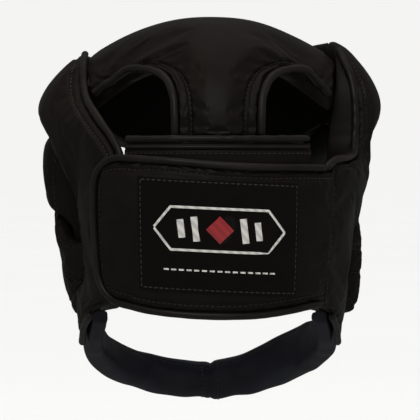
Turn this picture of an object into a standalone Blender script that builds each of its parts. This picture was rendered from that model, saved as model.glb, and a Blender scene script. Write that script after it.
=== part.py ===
"""Padded head guard with a chin bar, for martial arts, as it sits on a head.

Metres, +Z up. The wearer faces +Y and +X is the wearer's right. The origin is where the top of the head
touches the inside of the crown, so nearly all of the guard lies below it.

Most pads lie on one form, the hollow that the head fills. A place on the form is given by a turn, in degrees
from straight behind and positive towards the wearer's right, a level, as a share of GUARD_HEIGHT below the
origin, and a distance out from the form.
"""

import math

import bmesh
import bpy
import numpy as np

# The hollow for the head
INNER_WIDTH = 0.158  # inside, from ear to ear
INNER_REAR = 0.103  # inside, from the middle to the back of the head
INNER_FRONT = 0.100  # inside, from the middle to the forehead
GUARD_HEIGHT = 0.245  # from the inside of the crown to the bottom of the chin bar
FORM_POWER = 2.3  # 2 is an ellipse seen from above, and more is squarer

# Pads and walls
CLEARANCE = 0.0004  # between pieces that are sewn or laid together
CROWN_THICKNESS = 0.022
CROWN_MARGIN = 0.0045  # the flat sewn border of the crown beside the two rear openings
CROWN_MARGIN_WIDTH = 0.008
SIDE_THICKNESS = 0.031
LEFT_FULLNESS = 1.08  # the left pads stand out a little more than the right ones
RIGHT_FULLNESS = 1.05
LEFT_CHEEK_FULLNESS = 0.95
RIGHT_CHEEK_FULLNESS = 0.80
REAR_SHIFT = 0.0052  # how far the tongue and the closure stand to the wearer's right of the middle
FOREHEAD_THICKNESS = 0.031
CHEEK_THICKNESS = 0.032
CHEEK_UNDER_JAW = 0.0155  # the cheek pad where the jaw pad covers it
JAW_THICKNESS = 0.0105
BAR_THICKNESS = 0.028
BAR_END_THICKNESS = 0.011
TAIL_THICKNESS = 0.006
TAIL_STANDS_OFF = 0.002
TAB_THICKNESS = 0.003
FACING_THICKNESS = 0.0012
FLAP_THICKNESS = 0.006
LABEL_THICKNESS = 0.0009
EDGE_RADIUS = 0.0027  # of the rolled edges
HEM_RADIUS = 0.0024
RIM_SHARE = 0.30  # how thick a pad still is at its very edge

# Closure
FLAP_CORNER = 0.017
SEAM_TURN = 43.2  # where the flap's right end is sewn to the right side pad
SEAM_SLANT = 8.0  # how much that turn falls over GUARD_HEIGHT
LEFT_CHEEK_TURN = 86.0  # where each cheek pad begins behind, beside the ear opening
RIGHT_CHEEK_TURN = 95.0
TAB_LEFT_TURN = -29.0
TAB_RIGHT_TURN = 36.0
LABEL_WIDTH = 0.1065
LABEL_HEIGHT = 0.0725

# The form at each level: its half width, and its reach to the back and the front
FORM_COLUMNS = ("level", "width", "rear", "front")
FORM_ROWS = (
    (-0.10, 1.065, 1.02, 1.03),
    (0.10, 1.065, 1.02, 1.03),
    (0.24, 1.01, 1.00, 1.00),
    (0.42, 1.00, 1.00, 1.00),
    (0.60, 0.945, 0.985, 1.00),
    (0.75, 0.917, 0.95, 0.99),
    (0.88, 0.882, 0.90, 0.98),
    (1.02, 0.855, 0.86, 0.98),
)

# The crown's outer face from the forehead over the top to the tongue. "reach" is a share of the form's front
# or rear reach, "side" the reach of the row's two ends, "rise" and "drop" are shares of GUARD_HEIGHT, "width"
# is a share of half INNER_WIDTH, where 0 means out to the side pads, and "full" is a share of the thickness.
CROWN_COLUMNS = ("reach", "side", "rise", "width", "drop", "full")
CROWN_ROWS = (
    (1.00, 0.66, -0.012, 0.0, 0.010, 0.55),
    (0.93, 0.58, 0.022, 0.0, 0.034, 0.80),
    (0.78, 0.46, 0.054, 0.0, 0.068, 0.95),
    (0.55, 0.31, 0.077, 0.0, 0.095, 1.00),
    (0.28, 0.15, 0.088, 0.0, 0.114, 1.00),
    (0.00, 0.00, 0.090, 0.0, 0.122, 1.00),
    (-0.22, -0.19, 0.084, 0.0, 0.142, 1.00),
    (-0.40, -0.38, 0.070, 0.0, 0.172, 0.98),
    (-0.53, -0.50, 0.053, 0.925, 0.150, 0.95),
    (-0.66, -0.63, 0.027, 0.770, 0.088, 0.90),
    (-0.78, -0.75, -0.010, 0.595, 0.050, 0.82),
    (-0.88, -0.86, -0.056, 0.462, 0.024, 0.74),
    (-0.965, -0.955, -0.110, 0.400, 0.016, 0.66),
    (-1.008, -1.004, -0.168, 0.384, 0.018, 0.60),
    (-1.027, -1.023, -0.212, 0.382, 0.021, 0.50),
    (-1.038, -1.034, -0.240, 0.382, 0.024, 0.26),
    (-1.049, -1.045, -0.272, 0.382, 0.026, 0.20),
)
CROWN_CHANGE = 7  # the last row that reaches out to the side pads

# A side pad, as a C around the ear: along the band over the ear, down behind it and forward under it.
# "in" is the edge by the ear, "out" the outer edge, and "full" a share of SIDE_THICKNESS. "off" is 1 where
# the pad lies on the end of the chin bar, "near" and "far" are how thick its edge by the ear and its outer
# edge are, and "lean" is how much thinner the pad gets towards the outer edge, all as shares. A turn_out of
# 0 stands for the seam with the flap.
SIDE_COLUMNS = ("turn_in", "level_in", "turn_out", "level_out", "full", "off", "near", "far", "lean")
LEFT_SIDE_ROWS = (
    (118.0, 0.204, 118.0, 0.010, 0.98, 0.0, 0.30, 0.30, 0.74),
    (104.0, 0.207, 105.0, 0.010, 1.10, 0.0, 0.30, 0.30, 0.78),
    (92.0, 0.216, 93.0, 0.012, 1.16, 0.0, 0.30, 0.30, 0.80),
    (84.0, 0.245, 85.0, 0.030, 1.12, 0.0, 0.30, 0.32, 0.72),
    (78.0, 0.290, 80.0, 0.055, 1.00, 0.0, 0.30, 0.34, 0.55),
    (72.0, 0.340, 74.0, 0.100, 0.84, 0.0, 0.30, 0.36, 0.35),
    (67.0, 0.385, 66.0, 0.140, 0.68, 0.0, 0.34, 0.40, 0.20),
    (65.5, 0.425, 56.0, 0.176, 0.54, 0.0, 0.50, 0.45, 0.10),
    (67.5, 0.460, 48.0, 0.212, 0.44, 0.0, 0.75, 0.50, 0.0),
    (69.0, 0.495, 41.5, 0.248, 0.39, 0.0, 0.88, 0.50, 0.0),
    (70.5, 0.530, 37.0, 0.300, 0.37, 0.0, 0.90, 0.45, 0.0),
    (71.5, 0.565, 36.0, 0.420, 0.36, 0.0, 0.90, 0.40, 0.0),
    (73.0, 0.600, 36.0, 0.560, 0.36, 0.0, 0.90, 0.40, 0.0),
    (75.0, 0.628, 41.0, 0.664, 0.34, 0.20, 0.85, 0.40, 0.0),
    (77.0, 0.652, 52.0, 0.700, 0.16, 0.90, 0.80, 0.80, 0.0),
    (79.0, 0.678, 63.0, 0.738, 0.13, 1.0, 0.85, 0.85, 0.0),
    (81.0, 0.700, 73.0, 0.770, 0.12, 1.0, 0.85, 0.85, 0.0),
    (83.5, 0.716, 81.0, 0.790, 0.12, 1.0, 0.85, 0.85, 0.0),
)
RIGHT_SIDE_ROWS = (
    (118.0, 0.204, 118.0, -0.030, 0.98, 0.0, 0.30, 0.30, 0.74),
    (105.0, 0.206, 106.0, -0.030, 1.10, 0.0, 0.30, 0.32, 0.78),
    (96.0, 0.214, 95.0, -0.020, 1.18, 0.0, 0.30, 0.38, 0.78),
    (91.0, 0.236, 88.0, 0.018, 1.16, 0.0, 0.30, 0.50, 0.62),
    (88.5, 0.262, 83.0, 0.065, 1.08, 0.0, 0.30, 0.66, 0.44),
    (87.5, 0.290, 80.0, 0.115, 1.00, 0.0, 0.30, 0.76, 0.30),
    (86.5, 0.318, 78.5, 0.165, 0.95, 0.0, 0.34, 0.80, 0.18),
    (85.5, 0.345, 77.5, 0.210, 0.90, 0.0, 0.42, 0.84, 0.10),
    (85.0, 0.372, 76.0, 0.250, 0.84, 0.0, 0.58, 0.86, 0.05),
    (85.0, 0.400, 71.0, 0.288, 0.77, 0.0, 0.76, 0.88, 0.0),
    (85.5, 0.430, 60.0, 0.302, 0.70, 0.0, 0.88, 0.92, 0.0),
    (86.0, 0.465, 50.0, 0.306, 0.64, 0.0, 0.94, 0.96, 0.0),
    (86.5, 0.505, 0.0, 0.318, 0.60, 0.0, 0.96, 0.98, 0.0),
    (87.0, 0.545, 0.0, 0.420, 0.58, 0.0, 0.96, 0.98, 0.0),
    (87.0, 0.590, 0.0, 0.560, 0.58, 0.0, 0.96, 0.98, 0.0),
    (87.0, 0.625, 0.0, 0.668, 0.53, 0.10, 0.92, 0.95, 0.0),
    (86.5, 0.655, 53.0, 0.702, 0.19, 0.90, 0.85, 0.90, 0.0),
    (86.0, 0.682, 64.0, 0.740, 0.13, 1.0, 0.85, 0.85, 0.0),
    (86.0, 0.702, 73.0, 0.770, 0.12, 1.0, 0.85, 0.85, 0.0),
    (86.0, 0.718, 81.0, 0.790, 0.12, 1.0, 0.85, 0.85, 0.0),
)
HEM_ROWS = 4  # how many of the last rows have a hem at their outer edge
EDGE_START_TURN = 92.0  # from which the outer edge is rolled, on its way back
EDGE_END_LEVEL = 0.31  # at which the roll ends

# Pads that run round the form: their upper and lower edges at each turn, and a share of the thickness.
# "off" is 0 where the pad begins on the form and 1 where it lies on the cheek pad.
BAND_COLUMNS = ("turn_top", "turn_bottom", "top", "bottom", "full", "off")
FOREHEAD_ROWS = (
    (118.0, 118.0, -0.030, 0.204, 0.98, 0.0),
    (131.0, 131.0, -0.026, 0.226, 1.08, 0.0),
    (145.0, 145.0, -0.014, 0.262, 1.10, 0.0),
    (162.0, 162.0, -0.002, 0.300, 1.10, 0.0),
    (180.0, 180.0, 0.003, 0.312, 1.10, 0.0),
    (198.0, 198.0, 0.004, 0.300, 1.10, 0.0),
    (215.0, 215.0, 0.006, 0.262, 1.10, 0.0),
    (229.0, 229.0, 0.010, 0.226, 1.08, 0.0),
    (242.0, 242.0, 0.010, 0.204, 0.98, 0.0),
)
# The cheek pad's "top" is how far it begins below the pads over it
CHEEK_ROWS = (
    (86.0, 86.0, 0.0300, 0.724, 0.66, 0.0),
    (89.5, 89.5, 0.0100, 0.727, 0.94, 0.0),
    (97.0, 97.0, 0.0034, 0.728, 1.03, 0.0),
    (108.0, 108.0, 0.0034, 0.728, 1.00, 0.0),
    (120.0, 120.0, 0.0034, 0.727, 0.92, 0.0),
    (130.0, 130.0, 0.0034, 0.726, 0.78, 0.0),
    (137.0, 137.0, 0.0080, 0.725, 0.50, 0.0),
)
# The jaw pads begin behind on the form, beside the side pads, and rise from there onto the cheek pads
LEFT_JAW_ROWS = (
    (70.4, 76.4, 0.519, 0.634, 0.70, 0.02),
    (75.0, 78.6, 0.522, 0.656, 0.90, 0.34),
    (80.0, 81.2, 0.516, 0.688, 1.00, 0.70),
    (83.5, 84.5, 0.500, 0.706, 1.00, 0.92),
    (87.5, 88.0, 0.472, 0.718, 1.00, 1.0),
    (92.5, 93.0, 0.436, 0.724, 1.00, 1.0),
    (101.0, 102.0, 0.400, 0.726, 1.00, 1.0),
    (117.0, 118.0, 0.430, 0.726, 1.00, 1.0),
    (129.0, 130.0, 0.500, 0.726, 0.85, 1.0),
    (136.0, 137.0, 0.570, 0.726, 0.55, 1.0),
)
RIGHT_JAW_ROWS = (
    (87.2, 87.8, 0.527, 0.640, 0.90, 0.45),
    (89.2, 89.6, 0.528, 0.700, 1.00, 0.74),
    (92.0, 92.4, 0.528, 0.718, 1.00, 1.0),
    (96.0, 96.4, 0.520, 0.724, 1.00, 1.0),
    (103.0, 103.6, 0.480, 0.726, 1.00, 1.0),
    (110.0, 111.0, 0.446, 0.726, 1.00, 1.0),
    (119.0, 120.0, 0.440, 0.726, 1.00, 1.0),
    (129.0, 130.0, 0.500, 0.726, 0.85, 1.0),
    (136.0, 137.0, 0.570, 0.726, 0.55, 1.0),
)
# The chin bar from its end to its middle. It lies higher on the right than on the left.
BAR_COLUMNS = ("turn", "top_left", "top_right", "bottom_left", "bottom_right", "full")
BAR_ROWS = (
    (56.0, 0.700, 0.700, 0.736, 0.736, 0.0),
    (64.0, 0.706, 0.706, 0.772, 0.772, 0.0),
    (76.0, 0.718, 0.718, 0.803, 0.802, 0.0),
    (84.0, 0.726, 0.726, 0.818, 0.815, 0.04),
    (92.0, 0.735, 0.732, 0.832, 0.826, 0.16),
    (105.0, 0.754, 0.739, 0.856, 0.846, 0.34),
    (121.0, 0.788, 0.750, 0.892, 0.874, 0.52),
    (138.0, 0.826, 0.772, 0.934, 0.916, 0.74),
    (153.0, 0.858, 0.814, 0.970, 0.958, 0.90),
    (167.0, 0.884, 0.866, 0.992, 0.989, 0.98),
    (180.0, 0.896, 0.896, 1.000, 1.000, 1.0),
)
# The flap: "lift" is how far it stands out over what lies under it there, as a share of its thickness
FLAP_COLUMNS = ("turn", "top", "bottom", "lift")
FLAP_ROWS = (
    (-38.6, 0.281, 0.668, 0.7),
    (-34.0, 0.279, 0.676, 0.5),
    (-29.0, 0.278, 0.683, 0.25),
    (-20.0, 0.281, 0.697, 0.0),
    (-8.0, 0.288, 0.707, 0.0),
    (4.0, 0.297, 0.711, 0.0),
    (16.0, 0.302, 0.709, 0.0),
    (26.0, 0.303, 0.700, 0.0),
    (34.0, 0.304, 0.692, 0.0),
    (41.3, 0.305, 0.688, 0.0),
)

# Levels of the closure's pieces, from top to bottom
TAIL_LEVELS = (0.335, 0.655)
STRIP_LEVELS = (0.43, 0.64)
TAB_LEVELS = (0.252, 0.415)
FACING_TOP = 0.270
LABEL_TOP = 0.335
TAIL_TURNS = (-35.15, 14.0)
STRIP_TURNS = (-33.0, 12.0)
FACING_INSET = 0.4  # degrees in from the back tab's ends
LABEL_SLANT = 0.00042  # how much lower the label lies for each degree to the right
SEAM_GAP = 0.15  # degrees on either side of the seam
JAW_TOP_SHARE = 0.80  # how thick the jaw pad is at its upper edge
CHEEK_LOW_SHARE = 0.86  # how thick the cheek pad is just above the jaw pad
CHEEK_STEP = 0.023  # how far above the jaw pad's upper edge the cheek pad gets thin
LEFT_JAW_FALL = 0.62  # how much thinner the jaw pad gets towards its lower edge
RIGHT_JAW_FALL = 0.05
BAR_SQUARED = 0.62  # 1 is an oval section, and less is squarer


def column(rows, columns, name):
    """One named column of a table."""
    return np.array([row[columns.index(name)] for row in rows])


def smooth(at, places, values):
    """A smooth curve through a table's values, read at some places (cubic pieces with averaged slopes)."""
    slopes = np.gradient(values, places)
    i = np.clip(np.searchsorted(places, at) - 1, 0, len(places) - 2)
    step = places[i + 1] - places[i]
    t = np.clip((at - places[i]) / step, 0.0, 1.0)
    near = (1 + 2 * t) * (1 - t) ** 2 * values[i] + t * (1 - t) ** 2 * step * slopes[i]
    far = t**2 * (3 - 2 * t) * values[i + 1] + t**2 * (t - 1) * step * slopes[i + 1]
    return near + far


def form_sizes(level):
    """Half width, rear reach and front reach of the form at a level."""
    levels = column(FORM_ROWS, FORM_COLUMNS, "level")
    width = smooth(level, levels, column(FORM_ROWS, FORM_COLUMNS, "width"))
    rear = smooth(level, levels, column(FORM_ROWS, FORM_COLUMNS, "rear"))
    front = smooth(level, levels, column(FORM_ROWS, FORM_COLUMNS, "front"))
    return width * INNER_WIDTH / 2, rear * INNER_REAR, front * INNER_FRONT


def on_form(turn, level, out):
    """The points at some turns, levels and distances out from the form."""
    turn, level, out = np.broadcast_arrays(
        np.asarray(turn, float), np.asarray(level, float), np.asarray(out, float)
    )
    half_width, rear, front = form_sizes(level)
    across = np.sin(np.radians(turn))
    along = -np.cos(np.radians(turn))
    reach = np.where(along < 0, rear, front)
    size = (
        np.abs(across / (half_width + out)) ** FORM_POWER + np.abs(along / (reach + out)) ** FORM_POWER
    ) ** (-1 / FORM_POWER)
    return np.stack([size * across, size * along, -level * GUARD_HEIGHT], axis=-1)


def material(name, colour, roughness):
    """A Principled material, with its colour in sRGB."""
    linear = [((c + 0.055) / 1.055) ** 2.4 if c > 0.04045 else c / 12.92 for c in colour]
    made = bpy.data.materials.new(name)
    made.use_nodes = True
    shader = made.node_tree.nodes["Principled BSDF"]
    shader.inputs["Base Color"].default_value = (*linear, 1.0)
    shader.inputs["Roughness"].default_value = roughness
    return made


def finish_mesh(name, points, faces, finish, sharp_angle=40.0):
    """An object from points and faces, with its faces turned outwards and shaded smooth."""
    mesh = bpy.data.meshes.new(name)
    mesh.from_pydata([tuple(p) for p in points], [], faces)
    made = bmesh.new()
    made.from_mesh(mesh)
    bmesh.ops.recalc_face_normals(made, faces=made.faces)
    made.to_mesh(mesh)
    made.free()
    mesh.materials.append(finish)
    mesh.shade_smooth()
    mesh.set_sharp_from_angle(angle=math.radians(sharp_angle))
    part = bpy.data.objects.new(name, mesh)
    bpy.context.scene.collection.objects.link(part)
    return part


def grid_quads(rows, across, first=0):
    """The four corners of each face of a grid of points, whose first point has the number first."""
    quads = []
    for i in range(rows - 1):
        for j in range(across - 1):
            corner = first + i * across + j
            quads.append((corner, corner + across, corner + across + 1, corner + 1))
    return quads


def walled(name, outer, inner, finish):
    """A closed solid between two grids of points, joined round their borders."""
    rows, across = outer.shape[:2]
    count = rows * across
    border = list(range(across))
    border += [i * across + across - 1 for i in range(1, rows)]
    border += [(rows - 1) * across + j for j in range(across - 2, -1, -1)]
    border += [i * across for i in range(rows - 2, 0, -1)]
    faces = grid_quads(rows, across) + [quad[::-1] for quad in grid_quads(rows, across, count)]
    for a, b in zip(border, border[1:] + border[:1]):
        faces.append((a, b, b + count, a + count))
    points = np.concatenate([outer.reshape(-1, 3), inner.reshape(-1, 3)])
    return finish_mesh(name, points, faces, finish)


def ringed(name, rings, finish):
    """A closed solid through a row of rings of points, with flat ends."""
    count, sides = rings.shape[:2]
    faces = []
    for i in range(count - 1):
        for j in range(sides):
            here, ahead = i * sides + j, i * sides + (j + 1) % sides
            faces.append((here, ahead, ahead + sides, here + sides))
    faces.append(tuple(range(sides)))
    faces.append(tuple((count - 1) * sides + j for j in reversed(range(sides))))
    return finish_mesh(name, rings.reshape(-1, 3), faces, finish)


def rolled(name, path, radius, outward, finish, sides=7):
    """A rolled edge: a round tube along a path. outward holds a direction across the path at each point."""
    along = np.gradient(path, axis=0)
    along /= np.linalg.norm(along, axis=1)[:, None]
    first = outward - (outward * along).sum(1)[:, None] * along
    first /= np.linalg.norm(first, axis=1)[:, None]
    second = np.cross(along, first)
    angle = np.arange(sides) * 2 * math.pi / sides
    rings = path[:, None] + radius * (
        np.cos(angle)[None, :, None] * first[:, None] + np.sin(angle)[None, :, None] * second[:, None]
    )
    return ringed(name, rings, finish)


def pillow(share, near=RIM_SHARE, far=RIM_SHARE, power=2.6):
    """How full a pad is at a share of its width: near and far at its two edges, and 1 in the middle."""
    edge = near + (far - near) * np.clip(share, 0, 1)
    return edge + (1 - edge) * np.sqrt(np.clip(1 - np.abs(2 * share - 1) ** power, 0, 1))


ACROSS = np.array([0.0, 0.05, 0.16, 0.34, 0.5, 0.66, 0.84, 0.95, 1.0])


def beyond(edge, inside, radius):
    """The middle of a rolled edge that lies against a pad's edge, and the direction it stands out in."""
    along = np.gradient(edge, axis=0)
    along /= np.linalg.norm(along, axis=1)[:, None]
    step = np.diff(edge, axis=0)
    step /= np.linalg.norm(step, axis=1)[:, None]
    straight = np.ones(len(edge))
    straight[:-1] = np.minimum(straight[:-1], (along[:-1] * step).sum(1))
    straight[1:] = np.minimum(straight[1:], (along[1:] * step).sum(1))
    outward = edge - inside
    outward -= (outward * along).sum(1)[:, None] * along
    outward /= np.linalg.norm(outward, axis=1)[:, None]
    return edge + outward * ((radius + 2 * CLEARANCE) / straight)[:, None], outward


def crown_grid(turns_across=15):
    """Outer and inner faces of the crown, and the share across of each point of a row."""
    share = np.sin(np.linspace(-math.pi / 2, math.pi / 2, turns_across))
    reach = column(CROWN_ROWS, CROWN_COLUMNS, "reach")
    side = column(CROWN_ROWS, CROWN_COLUMNS, "side")
    rise = column(CROWN_ROWS, CROWN_COLUMNS, "rise") * GUARD_HEIGHT
    width = column(CROWN_ROWS, CROWN_COLUMNS, "width") * INNER_WIDTH / 2
    drop = column(CROWN_ROWS, CROWN_COLUMNS, "drop") * GUARD_HEIGHT
    full = column(CROWN_ROWS, CROWN_COLUMNS, "full") * CROWN_THICKNESS
    half_width, rear, front = (float(v) for v in form_sizes(np.array(0.0)))
    left = 1 - np.minimum(np.abs(side), 1) ** FORM_POWER
    rim = (half_width - 3 * CLEARANCE) * left ** (1 / FORM_POWER)
    free = width > 0
    width = np.where(free, width - 2 * EDGE_RADIUS - CLEARANCE, rim)
    centre_y = reach * np.where(reach >= 0, front - 2 * CLEARANCE, rear)
    side_y = side * np.where(side >= 0, front - 2 * CLEARANCE, rear)
    shape = (1 - np.abs(share * width[0] / (half_width - 3 * CLEARANCE)) ** FORM_POWER) ** (1 / FORM_POWER)
    bend = (shape - shape[0]) / (shape.max() - shape[0])
    bend = np.where(side[:, None] >= 0, bend, 1 - share**2)
    shift = REAR_SHIFT * np.clip((reach + 0.40) / -0.30, 0, 1)
    x = width[:, None] * share + shift[:, None]
    y = side_y[:, None] + (centre_y - side_y)[:, None] * bend
    slope_y = np.gradient(centre_y)
    slope_z = np.gradient(rise)
    length = np.hypot(slope_y, slope_z)
    normal = np.stack([np.zeros_like(length), slope_z / length, -slope_y / length], axis=-1)
    fall = drop[:, None] * np.abs(share) ** 2.1
    outer = np.stack([x, y, np.repeat(rise[:, None], len(share), 1)], axis=-1)
    outer = outer - fall[..., None] * normal[:, None]
    from_edge = (1 - np.abs(share)) * width[:, None]
    lobe = np.clip((from_edge - CROWN_MARGIN_WIDTH) / (1.6 * CROWN_THICKNESS), 0, 1)
    padded = CROWN_MARGIN + (full[:, None] - CROWN_MARGIN) * np.sqrt(1 - (1 - lobe) ** 2)
    plain = full[:, None] * (0.72 + 0.28 * np.sqrt(1 - np.abs(share) ** 4))
    thick = np.where(free[:, None], np.maximum(padded, CROWN_MARGIN), plain)
    return outer, outer - thick[..., None] * normal[:, None], normal


def build_crown(finish, edge_finish):
    """The crown pad with its tongue, and the rolled edges of the two rear openings."""
    outer, inner, normal = crown_grid()
    walled("crown_pad", outer, inner, finish)
    for name, end, sign in (("crown_edge_left", 0, -1.0), ("crown_edge_right", -1, 1.0)):
        rows = slice(CROWN_CHANGE + 1, -2)
        middle = (outer[rows, end] + inner[rows, end]) / 2
        path, outward = beyond(middle, middle - [sign, 0.0, 0.0], EDGE_RADIUS + CLEARANCE)
        rolled(name, path, EDGE_RADIUS, outward, edge_finish)


def seam_turn(level):
    """The turn of the seam between the flap and the right side pad, which slants."""
    return SEAM_TURN - SEAM_SLANT * (level - 0.5)


def side_shape(rows):
    """A side pad's table, read at twice as many places along the pad."""
    read = {name: column(rows, SIDE_COLUMNS, name) for name in SIDE_COLUMNS}
    on_seam = read["turn_out"] == 0
    read["turn_out"] = np.where(on_seam, seam_turn(read["level_out"]), read["turn_out"])
    places = np.arange(len(rows), dtype=float)
    finer = np.linspace(0, len(rows) - 1, 2 * len(rows) - 1)
    read = {name: smooth(finer, places, values)[:, None] for name, values in read.items()}
    beside = np.interp(finer, places, on_seam.astype(float))[:, None] == 1
    read["turn_out"] = np.where(beside, seam_turn(read["level_out"]) + SEAM_GAP, read["turn_out"])
    return read


def side_grid(read, fullness):
    """The turns and levels of a side pad's points, and how far out its inner and its outer face lie there.
    A row runs from the pad's edge by the ear to its outer edge."""
    turn = read["turn_in"] + (read["turn_out"] - read["turn_in"]) * ACROSS
    level = read["level_in"] + (read["level_out"] - read["level_in"]) * ACROSS
    base = read["off"] * (BAR_END_THICKNESS + 3 * CLEARANCE) + 0 * ACROSS
    fuller = 1 + (fullness - 1) * np.clip((read["full"] - 0.5) / 0.3, 0, 1)
    thick = read["full"] * SIDE_THICKNESS * fuller * pillow(ACROSS, read["near"], read["far"])
    thick = thick * (1 - read["lean"] * ACROSS**1.5)
    return turn, level, base, base + thick


def build_side(word, sign, rows, fullness, on_edge, finish, edge_finish):
    """A side pad, its rolled edge by the rear opening, and its hem. on_edge is where the rolled edge lies
    between the pad's inner face, 0, and its outer face, 1."""
    read = side_shape(rows)
    turn, level, base, top = side_grid(read, fullness)
    walled(f"side_pad_{word}", on_form(sign * turn, level, top), on_form(sign * turn, level, base), finish)
    first = int(np.argmax(read["turn_out"][:, 0] < EDGE_START_TURN))
    last = int(np.argmax(read["level_out"][:, 0] > EDGE_END_LEVEL))
    corner = len(level) - 2 * HEM_ROWS
    out = np.maximum(base + (top - base) * on_edge, EDGE_RADIUS + CLEARANCE)
    middle = on_form(sign * turn, level, out[:, -1:])
    path, outward = beyond(middle[first:last, -1], middle[first:last, -2], EDGE_RADIUS)
    rolled(f"side_edge_{word}", path, EDGE_RADIUS, outward, edge_finish)
    out = base + (top - base) * 0.9
    middle = on_form(sign * turn, level, out[:, -1:])
    path, outward = beyond(middle[corner:, -1], middle[corner:, -2], HEM_RADIUS)
    rolled(f"hem_{word}", path, HEM_RADIUS, outward, edge_finish)


def band_grid(read, sign, thickness, base=0.0, top_share=RIM_SHARE, lean=0.0, fall=0.0):
    """Outer and inner faces of a pad that runs round the form, from its table's columns. It is thinner by
    lean towards its upper edge and by fall towards its lower one."""
    turn = read["turn_top"] + (read["turn_bottom"] - read["turn_top"]) * ACROSS
    level = read["top"] + (read["bottom"] - read["top"]) * ACROSS
    full = read["full"] * thickness * pillow(ACROSS, top_share, RIM_SHARE)
    full = full * (1 - lean * (1 - ACROSS) ** 1.5) * (1 - fall * ACROSS)
    inside = np.maximum(base * read["off"], 0.0) + 0 * ACROSS
    return on_form(sign * turn, level, inside + full), on_form(sign * turn, level, inside)


def band_columns(rows):
    """The columns of a band's table, each as a tall array."""
    return {name: column(rows, BAND_COLUMNS, name)[:, None] for name in BAND_COLUMNS}


def build_forehead(finish):
    """The pad across the forehead, between the two side pads."""
    inset = math.degrees(2 * CLEARANCE / INNER_WIDTH)
    turn = np.linspace(FOREHEAD_ROWS[0][0] + inset, FOREHEAD_ROWS[-1][0] - inset, 17)
    turns = column(FOREHEAD_ROWS, BAND_COLUMNS, "turn_top")
    read = {}
    for name in BAND_COLUMNS:
        read[name] = smooth(turn, turns, column(FOREHEAD_ROWS, BAND_COLUMNS, name))[:, None]
    walled("forehead_pad", *band_grid(read, 1.0, FOREHEAD_THICKNESS, lean=0.6), finish)


def jaw_top(turn, rows):
    """The level of the jaw pad's upper edge at some turns."""
    read = band_columns(rows)
    return smooth(turn, read["turn_top"][:, 0], read["top"][:, 0])


def brim(turn, rows):
    """The level of the lower edge of the side pad, forward of the ear, and of the forehead pad."""
    over_ear = [row for row in rows if row[0] > 83 and row[1] < 0.3][::-1]
    over_face = FOREHEAD_ROWS[1:5]
    turns = [*column(over_ear, SIDE_COLUMNS, "turn_in"), *column(over_face, BAND_COLUMNS, "turn_top")]
    levels = [*column(over_ear, SIDE_COLUMNS, "level_in"), *column(over_face, BAND_COLUMNS, "bottom")]
    return smooth(turn, np.array(turns), np.array(levels))


def build_cheek(word, sign, fullness, rows, jaw_rows, start, finish):
    """The pad in front of the ear. It stays full down to the jaw pad's upper edge, steps back there, and is
    thin under the jaw pad."""
    read = band_columns(CHEEK_ROWS)
    first, last = read["turn_top"][0], read["turn_top"][-1]
    turn = last + (read["turn_top"] - last) * (last - start) / (last - first)
    top = read["top"] + brim(turn, rows)
    meets = jaw_top(turn, jaw_rows) - CHEEK_STEP
    down = np.array([0.0, 0.06, 0.18, 0.40, 0.64, 0.84, 0.95, 1.0])
    under = np.array([0.04, 0.35, 0.70, 1.0])
    upper = top + (meets - top) * down
    lower = meets + (read["bottom"] - meets) * under
    level = np.concatenate([upper, lower], axis=1)
    full = CHEEK_THICKNESS * fullness * read["full"] * pillow(down, RIM_SHARE, CHEEK_LOW_SHARE)
    full = np.maximum(full, CHEEK_UNDER_JAW * (down > 0.5))
    thin = CHEEK_UNDER_JAW * np.array([1.0, 1.0, 0.96, 0.80])
    thick = np.concatenate([full, np.repeat(thin[None], len(turn), 0)], axis=1)
    turn = np.repeat(turn, level.shape[1], 1)
    outer, inner = on_form(sign * turn, level, thick), on_form(sign * turn, level, 0 * thick)
    walled(f"cheek_pad_{word}", outer, inner, finish)


def build_jaw(word, sign, fullness, rows, fall, finish):
    """The outer pad over the jaw, open at its top, which is thinner by fall towards its lower edge."""
    base = CHEEK_UNDER_JAW + 3 * CLEARANCE
    thickness = JAW_THICKNESS * fullness
    outer, inner = band_grid(band_columns(rows), sign, thickness, base, JAW_TOP_SHARE, fall=fall)
    walled(f"jaw_pad_{word}", outer, inner, finish)


def build_chin_bar(finish, sides=12):
    """The padded bar from jaw to jaw under the chin."""
    turn = column(BAR_ROWS, BAR_COLUMNS, "turn")
    fine = np.linspace(turn[0], 180.0, 15)
    read = {name: smooth(fine, turn, column(BAR_ROWS, BAR_COLUMNS, name)) for name in BAR_COLUMNS}
    turn = np.concatenate([fine, 360 - fine[-2::-1]])[:, None]
    top, bottom, full = (
        np.concatenate([read[right], read[left][-2::-1]])[:, None]
        for right, left in (("top_right", "top_left"), ("bottom_right", "bottom_left"), ("full", "full"))
    )
    thick = BAR_END_THICKNESS + (BAR_THICKNESS - BAR_END_THICKNESS) * full
    angle = np.arange(sides) * 2 * math.pi / sides
    up = np.sign(np.sin(angle)) * np.abs(np.sin(angle)) ** BAR_SQUARED
    outwards = np.sign(np.cos(angle)) * np.abs(np.cos(angle)) ** BAR_SQUARED
    level = (top + bottom) / 2 - (bottom - top) / 2 * up
    rings = on_form(turn, level, thick * (1 + outwards) / 2)
    ringed("chin_bar", rings, finish)


def flap_outline(samples=17):
    """Turn, top, bottom and lift along the flap, with its left corners rounded."""
    turns = column(FLAP_ROWS, FLAP_COLUMNS, "turn")
    corner_turn = math.degrees(FLAP_CORNER / INNER_REAR)
    rounding = turns[0] + corner_turn * np.array([0.0, 0.06, 0.22, 0.5])
    turn = np.concatenate([rounding, np.linspace(turns[0] + corner_turn, turns[-1], samples - 4)])
    top, bottom, lift = (
        smooth(turn, turns, column(FLAP_ROWS, FLAP_COLUMNS, name)) for name in ("top", "bottom", "lift")
    )
    short = np.clip(1 - (turn - turns[0]) / corner_turn, 0, 1)
    cut = FLAP_CORNER / GUARD_HEIGHT * (1 - np.sqrt(1 - short**2))
    return turn, top + cut, bottom - cut, lift


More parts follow.
